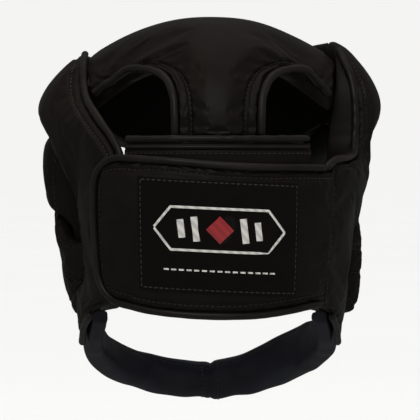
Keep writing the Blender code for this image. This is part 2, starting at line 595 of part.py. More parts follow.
def flap_faces(inside):
    """The flap's outer and inner faces and the path of its rolled edge. inside is how far out its inner face
    lies. The left end's points are kept inside the rolled edge, and the right end follows the seam."""
    turn, top, bottom, lift = (v[:, None] for v in flap_outline())
    border = (2 * EDGE_RADIUS + 2 * CLEARANCE) / GUARD_HEIGHT
    share = np.array([0.0, 0.05, 0.2, 0.4, 0.6, 0.8, 0.95, 1.0])
    level = top + border + (bottom - top - 2 * border) * share
    end = turn[0] + 1.7 * math.degrees(border * GUARD_HEIGHT / INNER_REAR)
    inset = np.maximum(turn, end + 0.01 * np.arange(len(turn))[:, None])
    near_seam = np.clip((inset - 20) / (turn[-1] - 20), 0, 1)
    inset = inset + near_seam * (seam_turn(level) - SEAM_GAP - turn[-1])
    inside = inside + lift * FLAP_THICKNESS
    outer = on_form(inset, level, inside + FLAP_THICKNESS)
    inner = on_form(inset, level, inside + 0 * level)
    middle = (inside + FLAP_THICKNESS / 2)[:, 0]
    across = on_form(turn[:, 0], (top + border / 2)[:, 0], middle)
    under = on_form(turn[:, 0], (bottom - border / 2)[:, 0], middle)
    return outer, inner, np.concatenate([across[::-1], under])


def sheet(name, turns, levels, inside, thickness, finish):
    """A flat piece on the form between two turns and two levels, that far out and that thick."""
    turn = np.linspace(*turns, 10)[:, None]
    level = np.linspace(*levels, 5)[None]
    walled(name, on_form(turn, level, inside + thickness), on_form(turn, level, inside + 0 * level), finish)


def build_closure(leather, edging, cloth):
    """What closes the guard behind: tail, hook strip, back tab, and flap with its rolled edge. Returns how
    far out the flap's outer face lies."""
    tab_inside = TAIL_STANDS_OFF + TAIL_THICKNESS + 2 * CLEARANCE
    facing_inside = tab_inside + TAB_THICKNESS + CLEARANCE
    flap_inside = facing_inside + FACING_THICKNESS + 2 * CLEARANCE
    tab_turns = (TAB_LEFT_TURN, TAB_RIGHT_TURN)
    facing_turns = (TAB_LEFT_TURN + FACING_INSET, TAB_RIGHT_TURN - FACING_INSET)
    facing_levels = (FACING_TOP, TAB_LEVELS[1])
    strip = flap_inside - tab_inside - 2 * CLEARANCE
    sheet("closure_tail", TAIL_TURNS, TAIL_LEVELS, TAIL_STANDS_OFF, TAIL_THICKNESS, cloth)
    sheet("hook_strip", STRIP_TURNS, STRIP_LEVELS, tab_inside, strip, cloth)
    sheet("back_tab", tab_turns, TAB_LEVELS, tab_inside, TAB_THICKNESS, leather)
    sheet("tab_facing", facing_turns, facing_levels, facing_inside, FACING_THICKNESS, leather)
    hem_level = TAB_LEVELS[0] - (HEM_RADIUS + CLEARANCE) / GUARD_HEIGHT
    path = on_form(np.linspace(*tab_turns, 10), hem_level, tab_inside + TAB_THICKNESS / 2)
    rolled("tab_hem", path, HEM_RADIUS, path * [1.0, 1.0, 0.0], edging)
    outer, inner, edge = flap_faces(flap_inside)
    walled("closure_flap", outer, inner, leather)
    rolled("flap_edge", edge, EDGE_RADIUS, edge * [1.0, 1.0, 0.0], edging)
    return flap_inside + FLAP_THICKNESS


def build_label(inside, satin):
    """The patch on the flap, whose outer face lies inside metres out."""
    width = math.degrees(LABEL_WIDTH / (INNER_REAR + inside))
    turn = np.linspace(-width / 2, width / 2, 9)[:, None] + math.degrees(REAR_SHIFT / INNER_REAR)
    level = LABEL_TOP + LABEL_SLANT * (turn - turn[0]) + LABEL_HEIGHT / GUARD_HEIGHT * np.linspace(0, 1, 5)
    base = inside + 2 * CLEARANCE
    walled("label_patch", on_form(turn, level, base + LABEL_THICKNESS), on_form(turn, level, base), satin)


def main():
    """Clears the scene and builds the guard."""
    for old in list(bpy.data.objects):
        bpy.data.objects.remove(old)
    leather = material("black_leather", (0.10, 0.095, 0.09), 0.42)
    edging = material("edge_leather", (0.11, 0.10, 0.095), 0.32)
    bar_leather = material("chin_leather", (0.095, 0.095, 0.11), 0.45)
    cloth = material("black_cloth", (0.05, 0.05, 0.05), 0.9)
    label = material("label_satin", (0.06, 0.055, 0.05), 0.55)
    build_crown(leather, edging)
    build_forehead(leather)
    build_side("left", -1.0, LEFT_SIDE_ROWS, LEFT_FULLNESS, 0.5, leather, edging)
    build_side("right", 1.0, RIGHT_SIDE_ROWS, RIGHT_FULLNESS, 0.88, leather, edging)
    build_cheek("left", -1.0, LEFT_CHEEK_FULLNESS, LEFT_SIDE_ROWS, LEFT_JAW_ROWS, LEFT_CHEEK_TURN, leather)
    build_cheek(
        "right", 1.0, RIGHT_CHEEK_FULLNESS, RIGHT_SIDE_ROWS, RIGHT_JAW_ROWS, RIGHT_CHEEK_TURN, leather
    )
    build_jaw("left", -1.0, LEFT_FULLNESS, LEFT_JAW_ROWS, LEFT_JAW_FALL, leather)
    build_jaw("right", 1.0, RIGHT_FULLNESS, RIGHT_JAW_ROWS, RIGHT_JAW_FALL, leather)
    build_chin_bar(bar_leather)
    flap_outside = build_closure(leather, edging, cloth)
    build_label(flap_outside, label)


main()
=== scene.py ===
"""Looks of a padded head guard with a chin bar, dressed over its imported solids.

Every soft piece is a closed surface worked out with numpy on the same head form as the solids. A place on
the form is a turn, in degrees from straight behind and positive towards the wearer's right, a level, as a
share of the form's drop below the origin, and a distance out. The pads are then filled by a short cloth
simulation, refined, and given their seams, puckers and creases. Metres, +Z up, the wearer faces +Y.
"""

from __future__ import annotations

import logging
import math
from dataclasses import dataclass, field
from enum import Enum

import bpy
import numpy as np
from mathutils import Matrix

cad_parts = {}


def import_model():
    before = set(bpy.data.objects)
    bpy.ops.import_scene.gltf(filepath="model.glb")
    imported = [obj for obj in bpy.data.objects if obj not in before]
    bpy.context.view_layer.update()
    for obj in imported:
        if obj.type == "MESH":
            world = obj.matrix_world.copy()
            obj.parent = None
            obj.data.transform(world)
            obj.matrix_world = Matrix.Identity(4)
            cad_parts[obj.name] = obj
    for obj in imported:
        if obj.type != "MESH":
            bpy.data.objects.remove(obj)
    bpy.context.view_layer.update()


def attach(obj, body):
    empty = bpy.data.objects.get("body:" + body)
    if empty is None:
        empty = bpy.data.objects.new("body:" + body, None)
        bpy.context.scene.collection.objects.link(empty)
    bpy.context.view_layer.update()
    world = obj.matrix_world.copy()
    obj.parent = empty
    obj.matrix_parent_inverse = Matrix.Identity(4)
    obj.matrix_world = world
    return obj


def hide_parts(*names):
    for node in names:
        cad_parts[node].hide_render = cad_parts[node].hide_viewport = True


LOG = logging.getLogger("head_guard")
MM = 0.001
BODY = "root"
STITCH_PITCH = 3.4 * MM
LABEL_STITCH_PITCH = 3.6 * MM
CLOTH_FRAMES = 12  # how long the covers are filled
SEAM_HOLD = 2.1 * MM  # how far beside a seam the cover is held down
FINE = 3  # into how many parts each step of a soft piece's grid is divided at the end


class Slot(Enum):
    """The record's material slots."""

    LEATHER = "black_leather"
    EDGE = "edge_leather"
    CHIN = "chin_leather"
    CLOTH = "black_cloth"
    SATIN = "label_satin"


class Side(Enum):
    """The wearer's two sides, with the sign of X on each."""

    LEFT = -1.0
    RIGHT = 1.0

    @property
    def word(self) -> str:
        """The side's name in a node's name."""
        return self.name.lower()


def smooth(at: np.ndarray, places: np.ndarray, values: np.ndarray) -> np.ndarray:
    """Reads a smooth curve through a table's values: cubic pieces whose slope at each place is the average
    slope there.

    Args:
        at: where to read the curve.
        places: the rising places of the values.
        values: one value, or one row of values, for each place.

    Returns:
        The curve's values at those places.
    """
    slopes = np.gradient(values, places, axis=0)
    i = np.clip(np.searchsorted(places, at) - 1, 0, len(places) - 2)
    step = places[i + 1] - places[i]
    t = np.clip((at - places[i]) / step, 0.0, 1.0)
    for _ in range(values.ndim - 1):
        t, step = t[..., None], step[..., None]
    near = (1 + 2 * t) * (1 - t) ** 2 * values[i] + t * (1 - t) ** 2 * step * slopes[i]
    far = t**2 * (3 - 2 * t) * values[i + 1] + t**2 * (t - 1) * step * slopes[i + 1]
    return near + far


def ramp(value: np.ndarray, start: float, end: float) -> np.ndarray:
    """Rises smoothly from 0 at start to 1 at end."""
    t = np.clip((value - start) / (end - start), 0.0, 1.0)
    return t * t * (3 - 2 * t)


def wobble(at: np.ndarray, pitch: float, seed: int) -> np.ndarray:
    """A smooth random wave: seeded values between -1 and 1, one for each pitch, joined smoothly.

    Args:
        at: distances along the wave.
        pitch: the distance between its values.
        seed: picks the values.

    Returns:
        The wave's height at each distance.
    """
    first = math.floor(float(at.min()) / pitch) - 1
    count = math.ceil(float(at.max()) / pitch) + 2 - first
    places = (np.arange(count) + first) * pitch
    return smooth(at, places, np.random.default_rng(seed).uniform(-1, 1, count))


def unit(vectors: np.ndarray) -> np.ndarray:
    """Vectors along the last axis, made 1 long."""
    return vectors / np.maximum(np.linalg.norm(vectors, axis=-1, keepdims=True), 1e-9)


def travelled(path: np.ndarray) -> np.ndarray:
    """Distance travelled along a path of points, in metres, from its first."""
    return np.concatenate([[0], np.cumsum(np.linalg.norm(np.diff(path, axis=0), axis=1))])


@dataclass(frozen=True)
class Table:
    """A table with named columns, whose rows lie at even steps along a piece."""

    columns: tuple[str, ...]
    rows: tuple[tuple[float, ...], ...]

    def read(self, name: str) -> np.ndarray:
        """One column."""
        return np.array([row[self.columns.index(name)] for row in self.rows])

    def along(self, count: int) -> dict[str, np.ndarray]:
        """Every column, read smoothly at count even steps, each as a tall array.

        Args:
            count: how many places along the piece.

        Returns:
            A (count, 1) array for each column's name.
        """
        places = np.arange(len(self.rows), dtype=float)
        at = np.linspace(0, len(self.rows) - 1, count)
        return {name: smooth(at, places, self.read(name))[:, None] for name in self.columns}

    def over(self, name: str, key: str, at: np.ndarray) -> np.ndarray:
        """One column as a smooth curve over another."""
        return smooth(at, self.read(key), self.read(name))


@dataclass(frozen=True)
class HeadForm:
    """The hollow that the head fills, as the solids have it."""

    inner_width: float = 0.158
    inner_rear: float = 0.103
    inner_front: float = 0.100
    drop: float = 0.245
    power: float = 2.3
    rows: Table = Table(
        ("level", "width", "rear", "front"),
        (
            (-0.10, 1.065, 1.02, 1.03),
            (0.10, 1.065, 1.02, 1.03),
            (0.24, 1.01, 1.00, 1.00),
            (0.42, 1.00, 1.00, 1.00),
            (0.60, 0.945, 0.985, 1.00),
            (0.75, 0.917, 0.95, 0.99),
            (0.88, 0.882, 0.90, 0.98),
            (1.02, 0.855, 0.86, 0.98),
        ),
    )

    def sizes(self, level: np.ndarray) -> tuple[np.ndarray, np.ndarray, np.ndarray]:
        """Half width, rear reach and front reach at a level."""
        width = self.rows.over("width", "level", level) * self.inner_width / 2
        rear = self.rows.over("rear", "level", level) * self.inner_rear
        return width, rear, self.rows.over("front", "level", level) * self.inner_front

    def at(self, turn: np.ndarray, level: np.ndarray, out: np.ndarray) -> np.ndarray:
        """The points at some turns, levels and distances out. At each level the form is a superellipse: a
        power of x over the half width plus the same power of y over the reach is 1.

        Args:
            turn: degrees from straight behind.
            level: shares of the drop.
            out: metres out from the form.

        Returns:
            The points, with x, y and z along a last axis.
        """
        turn, level, out = np.broadcast_arrays(np.asarray(turn, float), level, out)
        half_width, rear, front = self.sizes(level)
        across = np.sin(np.radians(turn))
        along = -np.cos(np.radians(turn))
        reach = np.where(along < 0, rear, front)
        total = np.abs(across / (half_width + out)) ** self.power
        total = total + np.abs(along / (reach + out)) ** self.power
        size = total ** (-1 / self.power)
        return np.stack([size * across, size * along, -level * self.drop], axis=-1)


FORM = HeadForm()


def normals_of(grid: np.ndarray) -> np.ndarray:
    """Unit normals of a grid whose second axis is a closed ring: the cross product of its two slopes."""
    along = np.gradient(grid, axis=0)
    ring = np.roll(grid, -1, axis=1) - np.roll(grid, 1, axis=1)
    normal = unit(np.cross(ring, along))
    middle = grid.mean(axis=1, keepdims=True)
    facing = np.sign(((grid - middle) * normal).sum(2).mean())
    return normal * (facing or 1.0)


def lengths(grid: np.ndarray, axis: int) -> np.ndarray:
    """Distance travelled along one axis of a grid of points, in metres, from its first row or column."""
    steps = np.linalg.norm(np.diff(grid, axis=axis), axis=2)
    total = np.cumsum(steps, axis=axis)
    return np.concatenate([np.zeros_like(np.take(total, [0], axis)), total], axis=axis)


def finer(grid: np.ndarray) -> np.ndarray:
    """A grid whose second axis is a closed ring, read smoothly at FINE times as many places both ways."""
    rows = len(grid)
    along = np.linspace(0, rows - 1, (rows - 1) * FINE + 1)
    grid = smooth(along, np.arange(rows, dtype=float), grid)
    return finer_ring(grid.transpose(1, 0, 2)).transpose(1, 0, 2)


def finer_ring(values: np.ndarray) -> np.ndarray:
    """Values round a closed ring, along the first axis, read smoothly at FINE times as many places."""
    ring = len(values)
    wrapped = np.concatenate([values[-3:], values, values[:3]])
    return smooth(np.arange(ring * FINE) / FINE, np.arange(-3, ring + 3, dtype=float), wrapped)


def new_object(name: str, points: np.ndarray, faces: list, smooth_shade: bool = True) -> bpy.types.Object:
    """A mesh object at the origin.

    Args:
        name: the object's name.
        points: (count, 3) points in metres.
        faces: tuples or rows of point numbers.
        smooth_shade: whether its faces are shaded smooth.

    Returns:
        The object, in the scene.
    """
    mesh = bpy.data.meshes.new(name)
    mesh.from_pydata(points.tolist(), [], faces)
    mesh.update()
    if smooth_shade:
        mesh.shade_smooth()
    made = bpy.data.objects.new(name, mesh)
    bpy.context.scene.collection.objects.link(made)
    return made


def ring_faces(rows: int, ring: int) -> list:
    """Faces of a tube of rings: each joins two neighbours of one ring to the same two of the next."""
    i, j = np.meshgrid(np.arange(rows - 1), np.arange(ring), indexing="ij")
    k = (j + 1) % ring
    quads = np.stack([i * ring + j, i * ring + k, (i + 1) * ring + k, (i + 1) * ring + j], axis=-1)
    return quads.reshape(-1, 4).tolist()


def tube_object(name: str, grid: np.ndarray) -> bpy.types.Object:
    """A closed surface from a tube of rings. Each end is closed by two smaller rings and a fan, worked out as
    the end ring drawn in towards its middle.

    Args:
        name: the object's name.
        grid: (rings, points, 3) points.

    Returns:
        The object, with its faces outwards.
    """
    rows, ring = grid.shape[:2]
    caps = []
    for end in (0, -1):
        centre = grid[end].mean(axis=0)
        caps.append(centre + (grid[end] - centre) * 0.72)
        caps.append(centre + (grid[end] - centre) * 0.34)
        caps.append(centre[None])
    whole = np.concatenate([caps[1][None], caps[0][None], grid, caps[3][None], caps[4][None]])
    rows += 4
    points = np.concatenate([whole.reshape(-1, 3), caps[2], caps[5]])
    faces = ring_faces(rows, ring)
    first, last = rows * ring, rows * ring + 1
    around = np.arange(ring)
    ahead = (around + 1) % ring
    faces += np.stack([np.full(ring, first), ahead, around], axis=1).tolist()
    base = (rows - 1) * ring
    faces += np.stack([np.full(ring, last), base + around, base + ahead], axis=1).tolist()
    middle = grid.mean(axis=1, keepdims=True)
    normal = np.cross(np.roll(grid, -1, axis=1) - np.roll(grid, 1, axis=1), np.gradient(grid, axis=0))
    if ((grid - middle) * normal).sum() < 0:
        faces = [face[::-1] for face in faces]
    return new_object(name, points, faces)


@dataclass
class StitchRow:
    """Where a row of stitches runs: its points, the cover's normals there, and its pitch."""

    points: np.ndarray
    normals: np.ndarray
    pitch: float = STITCH_PITCH


@dataclass(frozen=True)
class Crease:
    """A soft fold in a pad's cover. Places are shares along and across the pad, lengths are metres."""

    along: float
    across: float
    angle: float
    length: float = 0.014
    width: float = 0.0022
    depth: float = 0.0011


@dataclass(frozen=True)
class Seam:
    """A sewn line on a pad's outer face. It runs along the pad, inset from its near or its far edge, or
    across the pad where at is set.

    Attributes:
        inset: metres in from the edge.
        far: whether that is the far edge.
        at: the share along at which a crosswise seam lies, or None.
        start: share along, or across, at which it begins.
        end: share at which it ends.
        depth: how deep its groove is, in metres.
        spread: half the groove's width, in metres.
    """

    inset: float = 0.0
    far: bool = False
    at: float | None = None
    start: float = 0.0
    end: float = 1.0
    depth: float = 0.0009
    spread: float = 0.0013


@dataclass
class SoftPad:
    """A foam pad in a leather cover: a closed tube of rings, each a rounded section between an outer and an
    inner face.

    Attributes:
        name: the node that it stands for, from which it takes its own name.
        outer: points of the outer face, rows along the pad and columns across it.
        inner: the inner face's points at the same places.
        rim: how far the rounding of each edge reaches across, as a share.
        seams: the sewn lines on its outer face.
        fill: fullness; not used.
        pressure: of the cloth simulation that fills the pad.
        spare: spare cover, as a share of its length, which puckers at the seams.
        reach: how far a point may move while the pad fills, in metres.
        creases: the folds of its cover.
        pucker: how deep the puckers beside its seams are, in metres.
        pucker_pitch: the distance between puckers, in metres.
        uneven: how far its foam bulges and sinks, in metres.
        round_ends: whether its ends are drawn in.
        seed: picks its puckers.
        grid: its points, and as a fourth value how far across the outer face each lies.
        share: each ring point's share across.
        height: 1 on the outer face, -1 on the inner one, and between them round the edges.
    """

    name: str
    outer: np.ndarray
    inner: np.ndarray
    finish: bpy.types.Material
    slot: Slot = Slot.LEATHER
    rim: float = 0.035
    seams: tuple[Seam, ...] = ()
    fill: float = 0.7
    pressure: float = 4.0
    spare: float = 0.013
    reach: float = 0.0024
    creases: tuple[Crease, ...] = ()
    pucker: float = 0.0004
    pucker_pitch: float = 0.006
    uneven: float = 0.0006
    round_ends: bool = True
    seed: int = 1
    grid: np.ndarray | None = field(default=None, repr=False)
    share: np.ndarray | None = field(default=None, repr=False)
    height: np.ndarray | None = field(default=None, repr=False)

    def _ring(self, columns: int) -> None:
        """Shares across and heights of a ring's points: the outer face, a half circle round the far edge,
        the inner face and a half circle round the near edge."""
        flat = np.linspace(self.rim, 1 - self.rim, columns)
        turn = np.linspace(0, math.pi, 8)[1:-1]
        far = 1 - self.rim + self.rim * np.sin(turn)
        self.share = np.concatenate([flat, far, flat[::-1], self.rim - self.rim * np.sin(turn)])
        level = np.cos(turn)
        self.height = np.concatenate([np.ones(columns), level, -np.ones(columns), -level])

    def _section(self) -> None:
        """Sets the grid: at every row, the ring's points lie between the inner and the outer face by their
        height, and the fourth value is the distance across the outer face."""
        places = np.linspace(0, 1, self.outer.shape[1])
        across = lengths(self.outer, 1)[..., None]
        faces = (np.concatenate([face, across], axis=2).swapaxes(0, 1) for face in (self.outer, self.inner))
        outer, inner = (smooth(self.share, places, face).swapaxes(0, 1) for face in faces)
        self.grid = inner + (outer - inner) * (0.5 + 0.5 * self.height)[None, :, None]

    def _away(self, seam: Seam) -> np.ndarray:
        """How far every point of the grid lies from a seam, in metres."""
        rows = self.grid.shape[0]
        along = lengths(self.grid[..., :3], 0).mean(axis=1)[:, None]
        place = along / along.max() + 0 * self.share[None]
        across = self.grid[..., 3]
        if seam.at is not None:
            away = np.abs(place - seam.at) * along.max()
            share = np.repeat(self.share[None], rows, axis=0)
        else:
            total = across.max(axis=1, keepdims=True)
            away = np.abs((total - across if seam.far else across) - seam.inset)
            share = place
        beyond = np.maximum(seam.start - share, share - seam.end)
        return np.where(beyond > 0, np.hypot(away, beyond * 0.1), away)

    def _fill_cover(self) -> None:
        """Swells the cover by a cloth simulation whose pins hold the inner face, the ends and the seams."""
        if self.reach <= 0:
            return
        rows, ring = self.grid.shape[:2]
        held = np.repeat((self.height < 0.3)[None], rows, axis=0)
        for seam in self.seams:
            held = held | ((self._away(seam) < SEAM_HOLD) & (self.height > 0)[None])
        held[:2] = True
        held[-2:] = True
        cover = tube_object(self.name + "_filling", self.grid[..., :3])
        sewn = cover.vertex_groups.new(name="sewn")
        mask = np.ones(len(cover.data.vertices), bool)
        mask[2 * ring : (rows + 2) * ring] = held.reshape(-1)
        sewn.add(np.flatnonzero(mask).tolist(), 1.0, "REPLACE")
        cloth = cover.modifiers.new("filling", "CLOTH")
        settings = cloth.settings
        settings.quality = 4
        settings.mass = 0.2
        settings.tension_stiffness = settings.compression_stiffness = 12.0
        settings.shear_stiffness = 4.0
        settings.bending_stiffness = 0.8
        settings.use_pressure = True
        settings.uniform_pressure_force = self.pressure
        settings.vertex_group_mass = sewn.name
        settings.shrink_min = -self.spare
        settings.effector_weights.gravity = 0.0
        cloth.collision_settings.use_collision = False
        cloth.point_cache.frame_start = 1
        cloth.point_cache.frame_end = CLOTH_FRAMES
        scene = bpy.context.scene
        for frame in range(1, CLOTH_FRAMES + 1):
            scene.frame_set(frame)
        seen = cover.evaluated_get(bpy.context.evaluated_depsgraph_get())
        settled = np.empty(len(seen.data.vertices) * 3, np.float32)
        seen.data.vertices.foreach_get("co", settled)
        settled = settled.reshape(-1, 3)[2 * ring : (rows + 2) * ring].reshape(rows, ring, 3)
        moved = settled.astype(float) - self.grid[..., :3]
        far = np.linalg.norm(moved, axis=2, keepdims=True)
        LOG.info("%s: the cover moved by up to %.1f mm", self.name, far.max() / MM)
        self.grid[..., :3] += moved * np.minimum(1.0, self.reach / np.maximum(far, 1e-9))
        bpy.data.objects.remove(cover)
        scene.frame_set(1)

    def _refine(self) -> None:
        """Reads the grid, the shares and the heights at more places."""
        self.grid = finer(self.grid)
        self.share = finer_ring(self.share)
        self.height = finer_ring(self.height)

    def _dress(self) -> None:
        """Adds seam grooves, puckers, creases and a slow unevenness as depths along the normals."""
        along = lengths(self.grid[..., :3], 0).mean(axis=1)[:, None]
        across = self.grid[..., 3]
        total = across.max(axis=1, keepdims=True)
        outside = ramp(self.height, 0.0, 0.8)[None]
        depth = np.zeros(across.shape)
        for number, seam in enumerate(self.seams):
            away = self._away(seam)
            run = along + 0 * across if seam.at is None else across
            waves = wobble(run, self.pucker_pitch, self.seed + 7 * number)
            depth -= outside * seam.depth * np.exp(-((away / seam.spread) ** 2))
            depth += outside * self.pucker * waves * np.exp(-away / 0.006)
        for away, seed in ((across, 11), (total - across, 23)):
            waves = wobble(along, self.pucker_pitch, self.seed + seed)
            depth += outside * self.pucker * waves * np.exp(-away / 0.007)
        for crease in self.creases:
            x = along - crease.along * along.max()
            y = across - crease.across * total
            turn = math.radians(crease.angle)
            run = x * math.cos(turn) + y * math.sin(turn)
            off = y * math.cos(turn) - x * math.sin(turn) - 6.0 * run**2
            fade = np.exp(-((run / crease.length) ** 2))
            valley = np.exp(-((off / crease.width) ** 2))
            ridge = np.exp(-(((np.abs(off) - 1.9 * crease.width) / (1.2 * crease.width)) ** 2))
            depth += outside * fade * crease.depth * (0.45 * ridge - valley)
        slow = wobble(along + 0.6 * across, 0.034, self.seed + 31)
        slow = slow * wobble(across - 0.4 * along, 0.028, self.seed)
        depth += outside * self.uneven * slow
        self.grid[..., :3] += normals_of(self.grid[..., :3]) * depth[..., None]

    def build(self) -> bpy.types.Object:
        """Builds the pad and puts it in place of its node.

        Returns:
            The pad's object.
        """
        self._ring(self.outer.shape[1])
        self._section()
        if self.round_ends:
            points = self.grid[..., :3]
            middle = points.mean(axis=1, keepdims=True)
            for i, share in enumerate((0.86, 0.955, 0.99)):
                for row in (i, -1 - i):
                    points[row] = middle[row] + (points[row] - middle[row]) * share
        self._fill_cover()
        self._refine()
        self._dress()
        pad = tube_object(self.name + "_cover", self.grid[..., :3])
        place_piece(pad, self.finish, self.slot, self.name)
        LOG.info("%s: %d faces", self.name, len(pad.data.polygons))
        return pad

    def stitch_row(self, seam: Seam) -> StitchRow:
        """The row of stitches along a seam, read off the finished cover.

        Args:
            seam: one of the pad's seams.

        Returns:
            The row's points and the cover's normals there.
        """
        away = self._away(seam) + 1.0 * (self.height < 0.9)[None]
        normal = normals_of(self.grid[..., :3])
        if seam.at is not None:
            row = int(np.argmin(away.mean(axis=1)))
            picked = np.flatnonzero((self.height > 0.9) & (self.share > seam.start) & (self.share < seam.end))
            return StitchRow(self.grid[row, picked, :3], normal[row, picked])
        rows = self.grid.shape[0]
        numbers = np.arange(int(seam.start * (rows - 1)), int(seam.end * (rows - 1)) + 1)
        pick = away[numbers].argmin(axis=1)
        return StitchRow(self.grid[numbers, pick, :3], normal[numbers, pick])

    def stitch_rows(self) -> list[StitchRow]:
        """The rows of stitches of all its seams."""
        return [self.stitch_row(seam) for seam in self.seams]


def place_piece(piece: bpy.types.Object, finish: bpy.types.Material, slot: Slot, *nodes: str) -> None:
    """Gives a piece its finish, makes it ride with the guard, and lets it stand for nodes.

    Args:
        piece: the finished object.
        finish: its material.
        slot: the record's slot for it; not used.
        nodes: CAD nodes that it replaces.
    """
    piece.data.materials.clear()
    piece.data.materials.append(finish)
    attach(piece, BODY)
    if nodes:
        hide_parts(*nodes)


@dataclass
class RolledEdge:
    """A narrow band of leather rolled over an edge: a tube along a path, a little uneven where the thread
    draws it in.

    Attributes:
        name: the node that it stands for.
        path: points of its middle.
        outward: the direction that it stands out in at each of them.
        radius: of the roll.
        flat: its height as a share of its width.
        uneven: how much its radius varies, as a share.
        pitch: the length of that variation.
        seed: picks the variation.
        extra: whether it stands for no node.
    """

    name: str
    path: np.ndarray
    outward: np.ndarray
    radius: float
    finish: bpy.types.Material
    flat: float = 0.92
    uneven: float = 0.055
    pitch: float = 0.0042
    seed: int = 5
    extra: bool = False

    def build(self) -> bpy.types.Object:
        """Carries a ring along the path. Its radius is the edge's, times one plus a seeded wave.

        Returns:
            The edge's object.
        """
        places = travelled(self.path)
        count = int(places[-1] / 0.0011)
        at = np.linspace(0, places[-1], count)
        path = smooth(at, places, self.path)
        outward = smooth(at, places, self.outward)
        along = unit(np.gradient(path, axis=0))
        first = unit(outward - (outward * along).sum(1)[:, None] * along)
        second = np.cross(along, first)
        angle = np.linspace(0, 2 * math.pi, 20, endpoint=False)
        ends = np.minimum(at, at[-1] - at)
        close = np.sqrt(np.clip(1 - (1 - np.clip(ends / self.radius, 0.0, 1.0)) ** 2, 0.05, 1.0))
        wave = 1 + self.uneven * wobble(at, self.pitch, self.seed) + 0.04 * wobble(at, 0.019, self.seed + 1)
        size = (self.radius * wave * close)[:, None, None]
        across, upright = np.cos(angle)[None, :, None], self.flat * np.sin(angle)[None, :, None]
        ring = across * first[:, None] + upright * second[:, None]
        edge = tube_object(self.name + "_roll", path[:, None] + size * ring)
        place_piece(edge, self.finish, Slot.EDGE, *(() if self.extra else (self.name,)))
        return edge


@dataclass
class Stitches:
    """Rows of lockstitch in bonded thread: each stitch is a little spindle that dips at both ends."""

    name: str
    rows: list[StitchRow]
    finish: bpy.types.Material
    slot: Slot = Slot.LEATHER
    radius: float = 0.00036
    share: float = 0.74

    def build(self) -> bpy.types.Object:
        """Places one spindle for each pitch along every row. A spindle's rings shrink towards its ends and
        sink by a share of the radius, as the thread goes into its holes.

        Returns:
            The stitches' object.
        """
        blocks = []
        step = np.linspace(-1, 1, 6)
        angle = np.linspace(0, 2 * math.pi, 6, endpoint=False)
        girth = np.sqrt(1 - 0.86 * step**2)
        for row in self.rows:
            places = travelled(row.points)
            count = max(2, int(places[-1] / row.pitch))
            at = (np.arange(count) + 0.5) * places[-1] / count
            half = row.pitch * self.share / 2
            spots = np.clip(at[:, None] + step * half, 0, places[-1])
            points = np.stack([np.interp(spots, places, row.points[:, k]) for k in range(3)], axis=-1)
            up = np.stack([np.interp(at, places, row.normals[:, k]) for k in range(3)], axis=-1)
            along = unit(points[:, -1] - points[:, 0])
            side = unit(np.cross(along, up))
            up = np.cross(side, along)
            lift = self.radius * (0.55 - 0.95 * step**4)
            centre = points + up[:, None] * lift[None, :, None]
            ring = np.cos(angle)[:, None] * side[:, None, None] + np.sin(angle)[:, None] * up[:, None, None]
            spindle = centre[:, :, None] + self.radius * girth[None, :, None, None] * ring
            blocks.append(spindle)
        whole = np.concatenate(blocks)
        count, rings, ring_points = whole.shape[:3]
        one = np.array(ring_faces(rings, ring_points))
        each = rings * ring_points
        faces = (one[None] + (np.arange(count) * each)[:, None, None]).reshape(-1, 4).tolist()
        start = np.arange(ring_points)
        ends = np.stack([start[::-1], start + (rings - 1) * ring_points])
        faces += (ends[None] + (np.arange(count) * each)[:, None, None]).reshape(-1, ring_points).tolist()
        made = new_object(self.name, whole.reshape(-1, 3), faces)
        place_piece(made, self.finish, self.slot)
        LOG.info("%s: %d stitches", self.name, count)
        return made


def linear(colour: str) -> tuple[float, float, float, float]:
    """An sRGB hex colour as linear red, green, blue and full alpha."""
    parts = np.array([int(colour[i : i + 2], 16) for i in (1, 3, 5)]) / 255
    parts = np.where(parts > 0.04045, ((parts + 0.055) / 1.055) ** 2.4, parts / 12.92)
    return (*parts.tolist(), 1.0)


def node(tree: bpy.types.NodeTree, kind: str, links: dict | None = None, **settings) -> bpy.types.Node:
    """Adds a node.

    Args:
        tree: where it goes.
        kind: its type's name.
        links: for each input, by name or number, the output that feeds it or its own value.
        settings: its other properties.

    Returns:
        The node.
    """
    made = tree.nodes.new(kind)
    for name, value in settings.items():
        setattr(made, name, value)
    for name, value in (links or {}).items():
        if isinstance(value, bpy.types.NodeSocket):
            tree.links.new(value, made.inputs[name])
        else:
            made.inputs[name].default_value = value
    return made


def per_mm(size: float) -> float:
    """The scale of a pattern on Object coordinates whose cells are that many millimetres wide."""
    return 1.0 / (size * MM)


